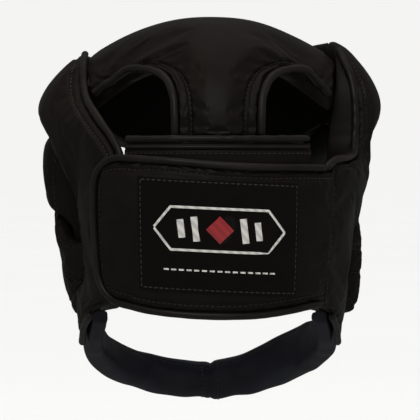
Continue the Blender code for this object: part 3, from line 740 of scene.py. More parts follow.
@dataclass(frozen=True)
class CoatedLeather:
    """Polyurethane-coated leather: a cloth backing under a thin embossed film. The film gives a satin shine
    that breaks up in a fine pebble grain, dulls where it is rubbed, and shows hardly any colour.

    Attributes:
        name: the material's name.
        colour: of the film.
        worn: of the film where it is handled.
        roughness: of the film between its pebbles' tops and the rubbed places.
        grain: width of a pebble in millimetres, coarser than the real 0.6 so that it shows.
        emboss: depth of the grain in millimetres.
        shine: how strongly it reflects, well under bare plastic, as dust and talc dull the film.
    """

    name: str
    colour: str
    worn: str
    roughness: tuple[float, float] = (0.40, 0.54)
    grain: float = 1.1
    emboss: float = 0.10
    shine: float = 0.24

    def make(self) -> bpy.types.Material:
        """Builds the material: pebbles from the distance to a cell's middle, warped by noise, over slow noise
        that moves colour and roughness.

        Returns:
            The material.
        """
        made = bpy.data.materials.new(self.name)
        made.use_nodes = True
        tree = made.node_tree
        shader = tree.nodes["Principled BSDF"]
        where = node(tree, "ShaderNodeTexCoord").outputs["Object"]
        fine = node(tree, "ShaderNodeTexNoise", {"Vector": where, "Scale": per_mm(2.4), "Detail": 3.0})
        warp = node(
            tree,
            "ShaderNodeVectorMath",
            {0: fine.outputs["Color"], 1: (0.0006, 0.0006, 0.0006)},
            operation="MULTIPLY",
        )
        bent = node(tree, "ShaderNodeVectorMath", {0: where, 1: warp.outputs[0]}, operation="ADD")
        pebble = node(
            tree,
            "ShaderNodeTexVoronoi",
            {"Vector": bent.outputs[0], "Scale": per_mm(self.grain), "Smoothness": 0.6},
            feature="SMOOTH_F1",
        )
        rubbed = node(
            tree,
            "ShaderNodeTexNoise",
            {"Vector": where, "Scale": per_mm(26.0), "Detail": 5.0, "Roughness": 0.6},
        )
        soft = node(tree, "ShaderNodeTexNoise", {"Vector": where, "Scale": per_mm(7.0), "Detail": 2.0})
        tone = node(
            tree,
            "ShaderNodeMapRange",
            {"Value": rubbed.outputs["Fac"], "From Min": 0.38, "From Max": 0.72},
        )
        blend = node(
            tree,
            "ShaderNodeMix",
            {0: tone.outputs[0], 6: linear(self.colour), 7: linear(self.worn)},
            data_type="RGBA",
        )
        dull = node(
            tree,
            "ShaderNodeMapRange",
            {
                "Value": rubbed.outputs["Fac"],
                "From Min": 0.3,
                "From Max": 0.7,
                "To Min": self.roughness[0],
                "To Max": self.roughness[1],
            },
        )
        swell = node(
            tree,
            "ShaderNodeMath",
            {0: soft.outputs["Fac"], 1: 1.6, 2: pebble.outputs["Distance"]},
            operation="MULTIPLY_ADD",
        )
        bump = node(
            tree,
            "ShaderNodeBump",
            {"Height": swell.outputs[0], "Strength": 0.35, "Distance": self.emboss * MM},
        )
        tree.links.new(blend.outputs[2], shader.inputs["Base Color"])
        tree.links.new(dull.outputs[0], shader.inputs["Roughness"])
        tree.links.new(bump.outputs[0], shader.inputs["Normal"])
        shader.inputs["IOR"].default_value = 1.46
        shader.inputs["Specular IOR Level"].default_value = self.shine
        return made


@dataclass(frozen=True)
class WovenSatin:
    """Polyester satin ribbon, woven with long floats: smooth, with a soft shine along the weft and a rib that
    only just shows."""

    name: str
    colour: str
    pale: str
    roughness: float = 0.42
    rib: float = 0.7

    def make(self) -> bpy.types.Material:
        """Builds the material: two waves at right angles for warp and weft, on the piece's own UV map, which
        is in metres."""
        made = bpy.data.materials.new(self.name)
        made.use_nodes = True
        tree = made.node_tree
        shader = tree.nodes["Principled BSDF"]
        where = node(tree, "ShaderNodeTexCoord").outputs["UV"]
        weft = node(
            tree,
            "ShaderNodeTexWave",
            {"Vector": where, "Scale": per_mm(self.rib) / 20.0, "Distortion": 0.4, "Detail": 1.0},
            bands_direction="Y",
        )
        warp = node(
            tree,
            "ShaderNodeTexWave",
            {"Vector": where, "Scale": per_mm(self.rib * 0.8) / 20.0, "Distortion": 0.4},
            bands_direction="X",
        )
        both = node(
            tree, "ShaderNodeMath", {0: weft.outputs["Fac"], 1: warp.outputs["Fac"]}, operation="MULTIPLY"
        )
        cloud = node(tree, "ShaderNodeTexNoise", {"Vector": where, "Scale": per_mm(9.0), "Detail": 4.0})
        tone = node(tree, "ShaderNodeMix", data_type="RGBA")
        tree.links.new(cloud.outputs["Fac"], tone.inputs[0])
        tone.inputs[6].default_value = linear(self.colour)
        tone.inputs[7].default_value = linear(self.pale)
        bump = node(
            tree, "ShaderNodeBump", {"Height": both.outputs[0], "Strength": 0.25, "Distance": 0.08 * MM}
        )
        tree.links.new(tone.outputs[2], shader.inputs["Base Color"])
        tree.links.new(bump.outputs[0], shader.inputs["Normal"])
        shader.inputs["Roughness"].default_value = self.roughness
        shader.inputs["Specular IOR Level"].default_value = 0.12
        shader.inputs["Anisotropic"].default_value = 0.4
        shader.inputs["Sheen Weight"].default_value = 0.02
        shader.inputs["Sheen Roughness"].default_value = 0.4
        return made


@dataclass(frozen=True)
class NappedTape:
    """Nylon hook-and-loop tape: a dull brushed pile of tiny loops, flecked, with no clear highlight."""

    name: str
    colour: str
    fleck: str
    loop: float = 0.9

    def make(self) -> bpy.types.Material:
        """Builds the material: a fine noise for the pile's tufts, both as depth and as flecks of colour."""
        made = bpy.data.materials.new(self.name)
        made.use_nodes = True
        tree = made.node_tree
        shader = tree.nodes["Principled BSDF"]
        where = node(tree, "ShaderNodeTexCoord").outputs["Object"]
        tufts = node(tree, "ShaderNodeTexNoise", {"Vector": where, "Scale": per_mm(self.loop), "Detail": 6.0})
        lift = node(
            tree, "ShaderNodeMapRange", {"Value": tufts.outputs["Fac"], "From Min": 0.45, "From Max": 0.75}
        )
        tone = node(tree, "ShaderNodeMix", data_type="RGBA")
        tree.links.new(lift.outputs[0], tone.inputs[0])
        tone.inputs[6].default_value = linear(self.colour)
        tone.inputs[7].default_value = linear(self.fleck)
        bump = node(
            tree, "ShaderNodeBump", {"Height": tufts.outputs["Fac"], "Strength": 0.7, "Distance": 0.5 * MM}
        )
        tree.links.new(tone.outputs[2], shader.inputs["Base Color"])
        tree.links.new(bump.outputs[0], shader.inputs["Normal"])
        shader.inputs["Roughness"].default_value = 0.92
        shader.inputs["Specular IOR Level"].default_value = 0.2
        shader.inputs["Sheen Weight"].default_value = 0.04
        shader.inputs["Sheen Roughness"].default_value = 0.5
        return made


@dataclass(frozen=True)
class BondedThread:
    """Bonded nylon or rayon thread: twisted filaments with a silky shine."""

    name: str
    colour: str
    roughness: float = 0.45

    def make(self) -> bpy.types.Material:
        """Builds the material: a wave along Object coordinates, finer than the thread, for its twist."""
        made = bpy.data.materials.new(self.name)
        made.use_nodes = True
        tree = made.node_tree
        shader = tree.nodes["Principled BSDF"]
        where = node(tree, "ShaderNodeTexCoord").outputs["Object"]
        twist = node(
            tree,
            "ShaderNodeTexWave",
            {"Vector": where, "Scale": per_mm(0.5) / 20.0},
            bands_direction="DIAGONAL",
        )
        tone = node(tree, "ShaderNodeMix", data_type="RGBA")
        tree.links.new(twist.outputs["Fac"], tone.inputs[0])
        tone.inputs[6].default_value = linear(self.colour)
        tone.inputs[7].default_value = tuple(0.7 * part for part in linear(self.colour)[:3]) + (1.0,)
        bump = node(
            tree, "ShaderNodeBump", {"Height": twist.outputs["Fac"], "Strength": 0.4, "Distance": 0.1 * MM}
        )
        tree.links.new(tone.outputs[2], shader.inputs["Base Color"])
        tree.links.new(bump.outputs[0], shader.inputs["Normal"])
        shader.inputs["Roughness"].default_value = self.roughness
        shader.inputs["Sheen Weight"].default_value = 0.15
        return made


@dataclass
class Finishes:
    """The guard's materials, each made once."""

    leather: bpy.types.Material
    edging: bpy.types.Material
    chin: bpy.types.Material
    tape: bpy.types.Material
    satin: bpy.types.Material
    thread: bpy.types.Material
    brown_thread: bpy.types.Material
    white_thread: bpy.types.Material
    red_thread: bpy.types.Material

    @classmethod
    def make(cls) -> Finishes:
        """Makes them all."""
        return cls(
            leather=CoatedLeather("pu_leather_black", "#110d0a", "#17130e").make(),
            edging=CoatedLeather(
                "pu_leather_edging", "#151210", "#201c18", (0.30, 0.44), grain=0.8, emboss=0.06, shine=0.38
            ).make(),
            chin=CoatedLeather("pu_leather_blue_black", "#18181f", "#202129", (0.42, 0.58)).make(),
            tape=NappedTape("hook_and_loop_nylon", "#0b0b0b", "#1b1a1a").make(),
            satin=WovenSatin("woven_satin_black", "#0b0908", "#120f0c").make(),
            thread=BondedThread("bonded_thread_black", "#1c1714").make(),
            brown_thread=BondedThread("bonded_thread_brown", "#2b2520").make(),
            white_thread=BondedThread("rayon_thread_white", "#dedbd4", 0.5).make(),
            red_thread=BondedThread("rayon_thread_red", "#a51b22", 0.5).make(),
        )


EDGE_RADIUS = 2.7 * MM
HEM_RADIUS = 2.4 * MM
FOLD_RADIUS = 1.3 * MM
EDGE_START_TURN = 92.0  # where the side pads' rolled edges begin
EDGE_END_LEVEL = 0.31
HEM_ROWS = 4  # how many of a side pad's last rows have a hem
LEVELLED = np.array([1.0, 1.0, 0.0])  # takes the height out of a direction
SEAM_TURN = 43.2
SEAM_SLANT = 8.0
SEAM_GAP = 0.15  # in degrees, to each side
CLEARANCE = 0.4 * MM
RIM_SHARE = 0.30


def pillow(
    share: np.ndarray, near: float | np.ndarray, far: float | np.ndarray, power: float = 2.6
) -> np.ndarray:
    """How full a pad is at a share of its width: near and far at its edges, and 1 in the middle. Between them
    it follows the square root of 1 less a power of the distance from the middle."""
    edge = near + (far - near) * np.clip(share, 0, 1)
    return edge + (1 - edge) * np.sqrt(np.clip(1 - np.abs(2 * share - 1) ** power, 0, 1))


def beyond(edge: np.ndarray, inside: np.ndarray, away: float) -> tuple[np.ndarray, np.ndarray]:
    """The middle of a rolled edge that lies against a pad's edge, and the direction that it stands out in."""
    along = unit(np.gradient(edge, axis=0))
    outward = edge - inside
    outward = unit(outward - (outward * along).sum(1)[:, None] * along)
    return edge + outward * away, outward


@dataclass
class Crown:
    """The crown pad, which ends behind in a raised tongue between two openings, and the rolled edges there.

    Attributes:
        thickness: of the foam.
        margin: width of the flat sewn border beside the openings.
        shift: how far the tongue stands to the wearer's right.
        shape: the outer face from the forehead over the top to the tongue, as in the solids.
        change: the last row that reaches out to the side pads.
    """

    finishes: Finishes
    thickness: float = 0.022
    margin: float = 0.0072
    shift: float = 0.0052
    change: int = 7
    shape: Table = Table(
        ("reach", "side", "rise", "width", "drop", "full"),
        (
            (1.00, 0.66, -0.012, 0.0, 0.010, 0.55),
            (0.93, 0.58, 0.022, 0.0, 0.034, 0.80),
            (0.78, 0.46, 0.054, 0.0, 0.068, 0.95),
            (0.55, 0.31, 0.077, 0.0, 0.095, 1.00),
            (0.28, 0.15, 0.088, 0.0, 0.114, 1.00),
            (0.00, 0.00, 0.090, 0.0, 0.122, 1.00),
            (-0.22, -0.19, 0.084, 0.0, 0.142, 1.00),
            (-0.40, -0.38, 0.070, 0.0, 0.172, 0.98),
            (-0.53, -0.50, 0.053, 0.925, 0.150, 0.95),
            (-0.66, -0.63, 0.027, 0.770, 0.088, 0.90),
            (-0.78, -0.75, -0.010, 0.595, 0.050, 0.82),
            (-0.88, -0.86, -0.056, 0.462, 0.024, 0.74),
            (-0.965, -0.955, -0.110, 0.400, 0.016, 0.66),
            (-1.008, -1.004, -0.168, 0.384, 0.018, 0.60),
            (-1.027, -1.023, -0.212, 0.382, 0.021, 0.50),
            (-1.038, -1.034, -0.240, 0.382, 0.024, 0.26),
            (-1.049, -1.045, -0.272, 0.382, 0.026, 0.20),
        ),
    )

    def faces(self, rows: int = 76, columns: int = 49) -> tuple[np.ndarray, np.ndarray]:
        """The crown's outer and inner faces. Each row is an arch from side to side. It falls from its middle
        by a power of the share across, and at the tongue by an ellipse that ends at the sewn border.

        Args:
            rows: places from the forehead to the tongue's end.
            columns: places from side to side.

        Returns:
            The two grids of points.
        """
        share = np.sin(np.linspace(-math.pi / 2, math.pi / 2, columns))
        places = np.arange(len(self.shape.rows), dtype=float)
        at = np.linspace(0, len(self.shape.rows) - 1, rows)
        half_width, rear, front = (float(v) for v in FORM.sizes(np.array(0.0)))
        raw_side = self.shape.read("side")
        left = 1 - np.minimum(np.abs(raw_side), 1) ** FORM.power
        rim = (half_width - 3 * CLEARANCE) * left ** (1 / FORM.power)
        free = self.shape.read("width") * FORM.inner_width / 2
        width = smooth(at, places, np.where(free > 0, free - 2 * EDGE_RADIUS - CLEARANCE, rim))
        reach = self.shape.read("reach")
        centre_y = smooth(at, places, reach * np.where(reach >= 0, front - 2 * CLEARANCE, rear))
        side_y = smooth(at, places, raw_side * np.where(raw_side >= 0, front - 2 * CLEARANCE, rear))
        rise = smooth(at, places, self.shape.read("rise") * FORM.drop)
        drop = smooth(at, places, self.shape.read("drop") * FORM.drop)[:, None]
        full = smooth(at, places, self.shape.read("full") * self.thickness)[:, None]
        inner_share = np.abs(share * width[0] / (half_width - 3 * CLEARANCE))
        arc = (1 - inner_share**FORM.power) ** (1 / FORM.power)
        arc = (arc - arc[0]) / (arc.max() - arc[0])
        rear_side = ramp(at, 4.6, 5.4)[:, None]
        bend = arc * (1 - rear_side) + (1 - share**2) * rear_side
        shift = self.shift * np.clip((smooth(at, places, reach) + 0.40) / -0.30, 0, 1)
        x = width[:, None] * share + shift[:, None]
        y = side_y[:, None] + (centre_y - side_y)[:, None] * bend
        slope_y, slope_z = np.gradient(centre_y), np.gradient(rise)
        length = np.hypot(slope_y, slope_z)
        normal = np.stack([np.zeros_like(length), slope_z / length, -slope_y / length], axis=-1)
        dome = np.abs(share) ** 2.1
        sewn = np.clip(1 - self.margin / width, 0.3, 1.0)[:, None]
        lobe = 1 - np.sqrt(np.clip(1 - np.minimum(np.abs(share) / sewn, 1.0) ** 2.4, 0, 1))
        tongue = ramp(at, self.change + 1.0, self.change + 4.5)[:, None]
        fall = drop * (dome * (1 - tongue) + lobe * tongue)
        fall = fall + 0.0015 * tongue * lobe
        outer = np.stack([x, y, np.repeat(rise[:, None], columns, 1)], axis=-1)
        outer = outer - fall[..., None] * normal[:, None]
        edge = (1 - np.abs(share)) * width[:, None]
        padded = 0.0045 + (full - 0.0045) * np.sqrt(1 - (1 - np.clip((edge - 0.008) / 0.035, 0, 1)) ** 2)
        plain = full * (0.72 + 0.28 * np.sqrt(1 - np.abs(share) ** 4))
        opening = ramp(at, self.change + 0.2, self.change + 1.0)[:, None]
        thick = plain * (1 - opening) + np.maximum(padded, 0.0045) * opening
        return outer, outer - thick[..., None] * normal[:, None]

    def build(self) -> list[StitchRow]:
        """Builds the crown and its two rolled edges.

        Returns:
            The rows of stitches on it.
        """
        outer, inner = self.faces()
        start = (self.change + 0.9) / (len(self.shape.rows) - 1)
        borders = (Seam(self.margin, start=start), Seam(self.margin, far=True, start=start))
        across = Seam(at=0.965, start=0.12, end=0.88, depth=0.0012, spread=0.002)
        folds = (
            Crease(0.62, 0.80, 62.0, 0.018, 0.003, 0.0009),
            Crease(0.75, 0.2, -40.0, 0.010, 0.002, 0.0006),
        )
        pad = SoftPad(
            "crown_pad",
            outer,
            inner,
            self.finishes.leather,
            seams=(*borders, across),
            creases=folds,
            reach=0.0022,
            rim=0.012,
            seed=3,
        )
        pad.build()
        half = (outer + inner) / 2
        rows = len(outer)
        first = int((self.change + 0.2) / (len(self.shape.rows) - 1) * rows)
        last = int((len(self.shape.rows) - 2.1) / (len(self.shape.rows) - 1) * rows)
        for side, end in ((Side.LEFT, 0), (Side.RIGHT, -1)):
            middle = half[first:last, end]
            path, outward = beyond(middle, middle - [side.value, 0.0, 0.0], EDGE_RADIUS + CLEARANCE)
            name = f"crown_edge_{side.word}"
            RolledEdge(name, path, outward, EDGE_RADIUS, self.finishes.edging, seed=40 + end).build()
        return pad.stitch_rows()


LEFT_SHAPE = Table(
    ("turn_in", "level_in", "turn_out", "level_out", "full", "off", "near", "far", "lean"),
    (
        (118.0, 0.204, 118.0, 0.010, 0.98, 0.0, 0.30, 0.30, 0.74),
        (104.0, 0.207, 105.0, 0.010, 1.10, 0.0, 0.30, 0.30, 0.78),
        (92.0, 0.216, 93.0, 0.012, 1.16, 0.0, 0.30, 0.30, 0.80),
        (84.0, 0.245, 85.0, 0.030, 1.12, 0.0, 0.30, 0.32, 0.72),
        (78.0, 0.290, 80.0, 0.055, 1.00, 0.0, 0.30, 0.34, 0.55),
        (72.0, 0.340, 74.0, 0.100, 0.84, 0.0, 0.30, 0.36, 0.35),
        (67.0, 0.385, 66.0, 0.140, 0.68, 0.0, 0.34, 0.40, 0.20),
        (65.5, 0.425, 56.0, 0.176, 0.54, 0.0, 0.50, 0.45, 0.10),
        (67.5, 0.460, 48.0, 0.212, 0.44, 0.0, 0.75, 0.50, 0.0),
        (69.0, 0.495, 41.5, 0.248, 0.39, 0.0, 0.88, 0.50, 0.0),
        (70.5, 0.530, 37.0, 0.300, 0.37, 0.0, 0.90, 0.45, 0.0),
        (71.5, 0.565, 36.0, 0.420, 0.36, 0.0, 0.90, 0.40, 0.0),
        (73.0, 0.600, 36.0, 0.560, 0.36, 0.0, 0.90, 0.40, 0.0),
        (75.0, 0.628, 41.0, 0.664, 0.34, 0.20, 0.85, 0.40, 0.0),
        (77.0, 0.652, 52.0, 0.700, 0.16, 0.90, 0.80, 0.80, 0.0),
        (79.0, 0.678, 63.0, 0.738, 0.13, 1.0, 0.85, 0.85, 0.0),
        (81.0, 0.700, 73.0, 0.770, 0.12, 1.0, 0.85, 0.85, 0.0),
        (83.5, 0.716, 81.0, 0.790, 0.12, 1.0, 0.85, 0.85, 0.0),
    ),
)
RIGHT_SHAPE = Table(
    LEFT_SHAPE.columns,
    (
        (118.0, 0.204, 118.0, -0.030, 0.98, 0.0, 0.30, 0.30, 0.74),
        (105.0, 0.206, 106.0, -0.030, 1.10, 0.0, 0.30, 0.32, 0.78),
        (96.0, 0.214, 95.0, -0.020, 1.18, 0.0, 0.30, 0.38, 0.78),
        (91.0, 0.236, 88.0, 0.018, 1.16, 0.0, 0.30, 0.50, 0.62),
        (88.5, 0.262, 83.0, 0.065, 1.08, 0.0, 0.30, 0.66, 0.44),
        (87.5, 0.290, 80.0, 0.115, 1.00, 0.0, 0.30, 0.76, 0.30),
        (86.5, 0.318, 78.5, 0.165, 0.95, 0.0, 0.34, 0.80, 0.18),
        (85.5, 0.345, 77.5, 0.210, 0.90, 0.0, 0.42, 0.84, 0.10),
        (85.0, 0.372, 76.0, 0.250, 0.84, 0.0, 0.58, 0.86, 0.05),
        (85.0, 0.400, 71.0, 0.288, 0.77, 0.0, 0.76, 0.88, 0.0),
        (85.5, 0.430, 60.0, 0.302, 0.70, 0.0, 0.88, 0.92, 0.0),
        (86.0, 0.465, 50.0, 0.306, 0.64, 0.0, 0.94, 0.96, 0.0),
        (86.5, 0.505, 0.0, 0.318, 0.60, 0.0, 0.96, 0.98, 0.0),
        (87.0, 0.545, 0.0, 0.420, 0.58, 0.0, 0.96, 0.98, 0.0),
        (87.0, 0.590, 0.0, 0.560, 0.58, 0.0, 0.96, 0.98, 0.0),
        (87.0, 0.625, 0.0, 0.668, 0.53, 0.10, 0.92, 0.95, 0.0),
        (86.5, 0.655, 53.0, 0.702, 0.19, 0.90, 0.85, 0.90, 0.0),
        (86.0, 0.682, 64.0, 0.740, 0.13, 1.0, 0.85, 0.85, 0.0),
        (86.0, 0.702, 73.0, 0.770, 0.12, 1.0, 0.85, 0.85, 0.0),
        (86.0, 0.718, 81.0, 0.790, 0.12, 1.0, 0.85, 0.85, 0.0),
    ),
)
LEFT_JAW = Table(
    ("turn_top", "turn_bottom", "top", "bottom", "full", "off"),
    (
        (70.4, 76.4, 0.519, 0.634, 0.70, 0.02),
        (75.0, 78.6, 0.522, 0.656, 0.90, 0.34),
        (80.0, 81.2, 0.516, 0.688, 1.00, 0.70),
        (83.5, 84.5, 0.500, 0.706, 1.00, 0.92),
        (87.5, 88.0, 0.472, 0.718, 1.00, 1.0),
        (92.5, 93.0, 0.436, 0.724, 1.00, 1.0),
        (101.0, 102.0, 0.400, 0.726, 1.00, 1.0),
        (117.0, 118.0, 0.430, 0.726, 1.00, 1.0),
        (129.0, 130.0, 0.500, 0.726, 0.85, 1.0),
        (136.0, 137.0, 0.570, 0.726, 0.55, 1.0),
    ),
)
RIGHT_JAW = Table(
    LEFT_JAW.columns,
    (
        (87.2, 87.8, 0.527, 0.640, 0.90, 0.45),
        (89.2, 89.6, 0.528, 0.700, 1.00, 0.74),
        (92.0, 92.4, 0.528, 0.718, 1.00, 1.0),
        (96.0, 96.4, 0.520, 0.724, 1.00, 1.0),
        (103.0, 103.6, 0.480, 0.726, 1.00, 1.0),
        (110.0, 111.0, 0.446, 0.726, 1.00, 1.0),
        (119.0, 120.0, 0.440, 0.726, 1.00, 1.0),
        (129.0, 130.0, 0.500, 0.726, 0.85, 1.0),
        (136.0, 137.0, 0.570, 0.726, 0.55, 1.0),
    ),
)
BAR_END_THICKNESS = 0.011


def seam_turn(level: np.ndarray) -> np.ndarray:
    """The turn of the slanting seam between the flap and the right side pad."""
    return SEAM_TURN - SEAM_SLANT * (level - 0.5)


@dataclass
class SidePad:
    """A side pad, as a C around the ear, with its rolled edge by the rear opening and its hem. meets is where
    that edge runs into the flap's, if it does."""

    finishes: Finishes
    side: Side
    shape: Table
    fullness: float
    on_edge: float
    thickness: float = 0.031
    seams: tuple[Seam, ...] = ()
    creases: tuple[Crease, ...] = ()
    meets: np.ndarray | None = None
    rows: int = 110
    columns: int = 26

    def read(self) -> dict[str, np.ndarray]:
        """The table read smoothly along the pad, with the seam's own turns where the flap is sewn on."""
        places = np.arange(len(self.shape.rows), dtype=float)
        at = np.linspace(0, len(self.shape.rows) - 1, self.rows)
        turn_out = self.shape.read("turn_out")
        on_seam = turn_out == 0
        level_out = self.shape.read("level_out")
        turn_out = np.where(on_seam, seam_turn(level_out), turn_out)
        values = {name: smooth(at, places, self.shape.read(name))[:, None] for name in self.shape.columns}
        values["turn_out"] = smooth(at, places, turn_out)[:, None]
        beside = np.interp(at, places, on_seam.astype(float))[:, None] == 1
        values["turn_out"] = np.where(beside, seam_turn(values["level_out"]) + SEAM_GAP, values["turn_out"])
        return values

    def faces(self) -> tuple[np.ndarray, np.ndarray, dict[str, np.ndarray]]:
        """The pad's outer and inner faces: straight lines of turn and level between its two edges, and a
        thickness that rises as a pillow's does and leans towards the outer edge."""
        read = self.read()
        share = np.linspace(0, 1, self.columns)
        turn = read["turn_in"] + (read["turn_out"] - read["turn_in"]) * share
        level = read["level_in"] + (read["level_out"] - read["level_in"]) * share
        base = read["off"] * (BAR_END_THICKNESS + 3 * CLEARANCE) + 0 * share
        fuller = 1 + (self.fullness - 1) * np.clip((read["full"] - 0.5) / 0.3, 0, 1)
        thick = read["full"] * self.thickness * fuller * pillow(share, read["near"], read["far"])
        thick = thick * (1 - read["lean"] * share**1.5)
        sign = self.side.value
        return FORM.at(sign * turn, level, base + thick), FORM.at(sign * turn, level, base), read

    def build(self) -> list[StitchRow]:
        """Builds the pad, its rolled edge and its hem.

        Returns:
            The rows of stitches on it.
        """
        outer, inner, read = self.faces()
        pad = SoftPad(
            f"side_pad_{self.side.word}",
            outer,
            inner,
            self.finishes.leather,
            seams=self.seams,
            creases=self.creases,
            seed=17 if self.side is Side.LEFT else 29,
        )
        pad.build()
        level = read["level_out"][:, 0]
        first = int(np.argmax(read["turn_out"][:, 0] < EDGE_START_TURN))
        last = int(np.argmax(level > EDGE_END_LEVEL + (0.0 if self.meets is None else 0.007)))
        corner = int(len(level) * (len(self.shape.rows) - HEM_ROWS) / (len(self.shape.rows) - 1))
        middle = inner + (outer - inner) * self.on_edge
        path, outward = beyond(middle[first:last, -1], middle[first:last, -3], EDGE_RADIUS)
        if self.meets is not None:
            path = np.concatenate([path[:-4], self.meets[None]])
            outward = np.concatenate([outward[:-4], outward[-1:]])
        name = f"side_edge_{self.side.word}"
        RolledEdge(name, path, outward, EDGE_RADIUS, self.finishes.edging, uneven=0.08, seed=51).build()
        middle = inner + (outer - inner) * 0.9
        path, outward = beyond(middle[corner:, -1], middle[corner:, -3], HEM_RADIUS)
        RolledEdge(f"hem_{self.side.word}", path, outward, HEM_RADIUS, self.finishes.edging, seed=57).build()
        return pad.stitch_rows()


@dataclass
class FacePads:
    """The pads round the face: forehead, cheeks and jaws."""

    finishes: Finishes
    forehead_thickness: float = 0.031
    cheek_thickness: float = 0.032
    under_jaw: float = 0.0155
    jaw_thickness: float = 0.0105
    jaw_top_share: float = 0.80
    low_share: float = 0.86
    step: float = 0.023
    forehead: Table = Table(
        ("turn", "top", "bottom", "full"),
        (
            (118.0, -0.030, 0.204, 0.98),
            (131.0, -0.026, 0.226, 1.08),
            (145.0, -0.014, 0.262, 1.10),
            (162.0, -0.002, 0.300, 1.10),
            (180.0, 0.003, 0.312, 1.10),
            (198.0, 0.004, 0.300, 1.10),
            (215.0, 0.006, 0.262, 1.10),
            (229.0, 0.010, 0.226, 1.08),
            (242.0, 0.010, 0.204, 0.98),
        ),
    )
    cheek: Table = Table(
        ("turn", "below", "bottom", "full"),
        (
            (86.0, 0.0300, 0.724, 0.66),
            (89.5, 0.0100, 0.727, 0.94),
            (97.0, 0.0034, 0.728, 1.03),
            (108.0, 0.0034, 0.728, 1.00),
            (120.0, 0.0034, 0.727, 0.92),
            (130.0, 0.0034, 0.726, 0.78),
            (137.0, 0.0080, 0.725, 0.50),
        ),
    )

    def build_forehead(self) -> list[StitchRow]:
        """The forehead pad: its edges and thickness as smooth curves over the turn."""
        inset = math.degrees(2 * CLEARANCE / FORM.inner_width)
        turn = np.linspace(118.0 + inset, 242.0 - inset, 72)
        edges = ("top", "bottom", "full")
        top, bottom, full = (self.forehead.over(name, "turn", turn)[:, None] for name in edges)
        share = np.linspace(0, 1, 25)
        level = top + (bottom - top) * share
        thick = full * self.forehead_thickness * pillow(share, RIM_SHARE, RIM_SHARE)
        thick = thick * (1 - 0.6 * (1 - share) ** 1.5)
        outer, inner = FORM.at(turn[:, None], level, thick), FORM.at(turn[:, None], level, 0 * thick)
        seams = (Seam(0.007), Seam(0.008, far=True))
        pad = SoftPad(
            "forehead_pad", outer, inner, self.finishes.leather, seams=seams, round_ends=False, seed=61
        )
        pad.build()
        return pad.stitch_rows()

    def brim(self, turn: np.ndarray, shape: Table) -> np.ndarray:
        """The level of the lower edge of the side pad forward of the ear, and of the forehead pad."""
        over_ear = [row for row in shape.rows if row[0] > 83 and row[1] < 0.3][::-1]
        lower = [(row[0], row[1]) for row in over_ear] + [(row[0], row[2]) for row in self.forehead.rows[1:5]]
        turns, levels = np.array(lower).T
        return smooth(turn, turns, levels)

    def build_cheek(
        self,
        side: Side,
        fullness: float,
        shape: Table,
        jaw: Table,
        start: float,
    ) -> list[StitchRow]:
        """The pad in front of the ear. It stays full down to a step just above the jaw pad's upper edge, and
        is thin under that pad.

        Args:
            side: which side.
            fullness: how much fuller than the plain thickness it is.
            shape: the side pad's table.
            jaw: the jaw pad's table.
            start: the turn at which the cheek pad begins.

        Returns:
            The rows of stitches on it.
        """
        read = self.cheek.along(44)
        first, last = self.cheek.rows[0][0], self.cheek.rows[-1][0]
        turn = last + (read["turn"] - last) * (last - start) / (last - first)
        top = read["below"] + self.brim(turn, shape)
        meets = smooth(turn, jaw.read("turn_top"), jaw.read("top")) - self.step
        down = np.linspace(0, 1, 24) ** 0.9
        under = np.linspace(0, 1, 12)[1:]
        level = np.concatenate([top + (meets - top) * down, meets + (read["bottom"] - meets) * under], axis=1)
        full = self.cheek_thickness * fullness * read["full"] * pillow(down, RIM_SHARE, self.low_share)
        full = np.maximum(full, self.under_jaw * ramp(down, 0.4, 0.6))
        thin = np.repeat((self.under_jaw * (1 - 0.2 * under**3))[None], len(turn), 0)
        thick = np.concatenate([full, thin], axis=1)
        sign = side.value
        outer, inner = FORM.at(sign * turn, level, thick), FORM.at(sign * turn, level, 0 * thick)
        pad = SoftPad(
            f"cheek_pad_{side.word}",
            outer,
            inner,
            self.finishes.leather,
            seams=(Seam(0.007), Seam(at=0.07, start=0.05, end=0.6)),
            reach=0.002,
            seed=71,
        )
        pad.build()
        return pad.stitch_rows()

    def build_jaw(
        self,
        side: Side,
        fullness: float,
        jaw: Table,
        fall: float,
        seam_level: float,
    ) -> list[StitchRow]:
        """The outer pad over the jaw, open at its top. It rises from the form, beside the side pad, onto the
        cheek pad, and gets thinner downwards.

        Args:
            side: which side.
            fullness: how much fuller than the plain thickness it is.
            jaw: its table.
            fall: how much thinner it is at its lower edge, as a share.
            seam_level: the share down at which a seam runs along it.

        Returns:
            The rows of stitches on it.
        """
        read = jaw.along(60)
        share = np.linspace(0, 1, 30)
        turn = side.value * (read["turn_top"] + (read["turn_bottom"] - read["turn_top"]) * share)
        level = read["top"] + (read["bottom"] - read["top"]) * share
        base = np.maximum((self.under_jaw + 3 * CLEARANCE) * read["off"], 0.0) + 0 * share
        thick = read["full"] * self.jaw_thickness * fullness * pillow(share, self.jaw_top_share, RIM_SHARE)
        thick = thick * (1 - fall * share)
        outer, inner = FORM.at(turn, level, base + thick), FORM.at(turn, level, base)
        pad = SoftPad(
            f"jaw_pad_{side.word}",
            outer,
            inner,
            self.finishes.leather,
            seams=(Seam(0.0042, depth=0.0011), Seam(0.0075, far=True), Seam(seam_level, depth=0.0012)),
            reach=0.002,
            rim=0.05,
            round_ends=False,
            seed=83,
        )
        pad.build()
        return pad.stitch_rows()


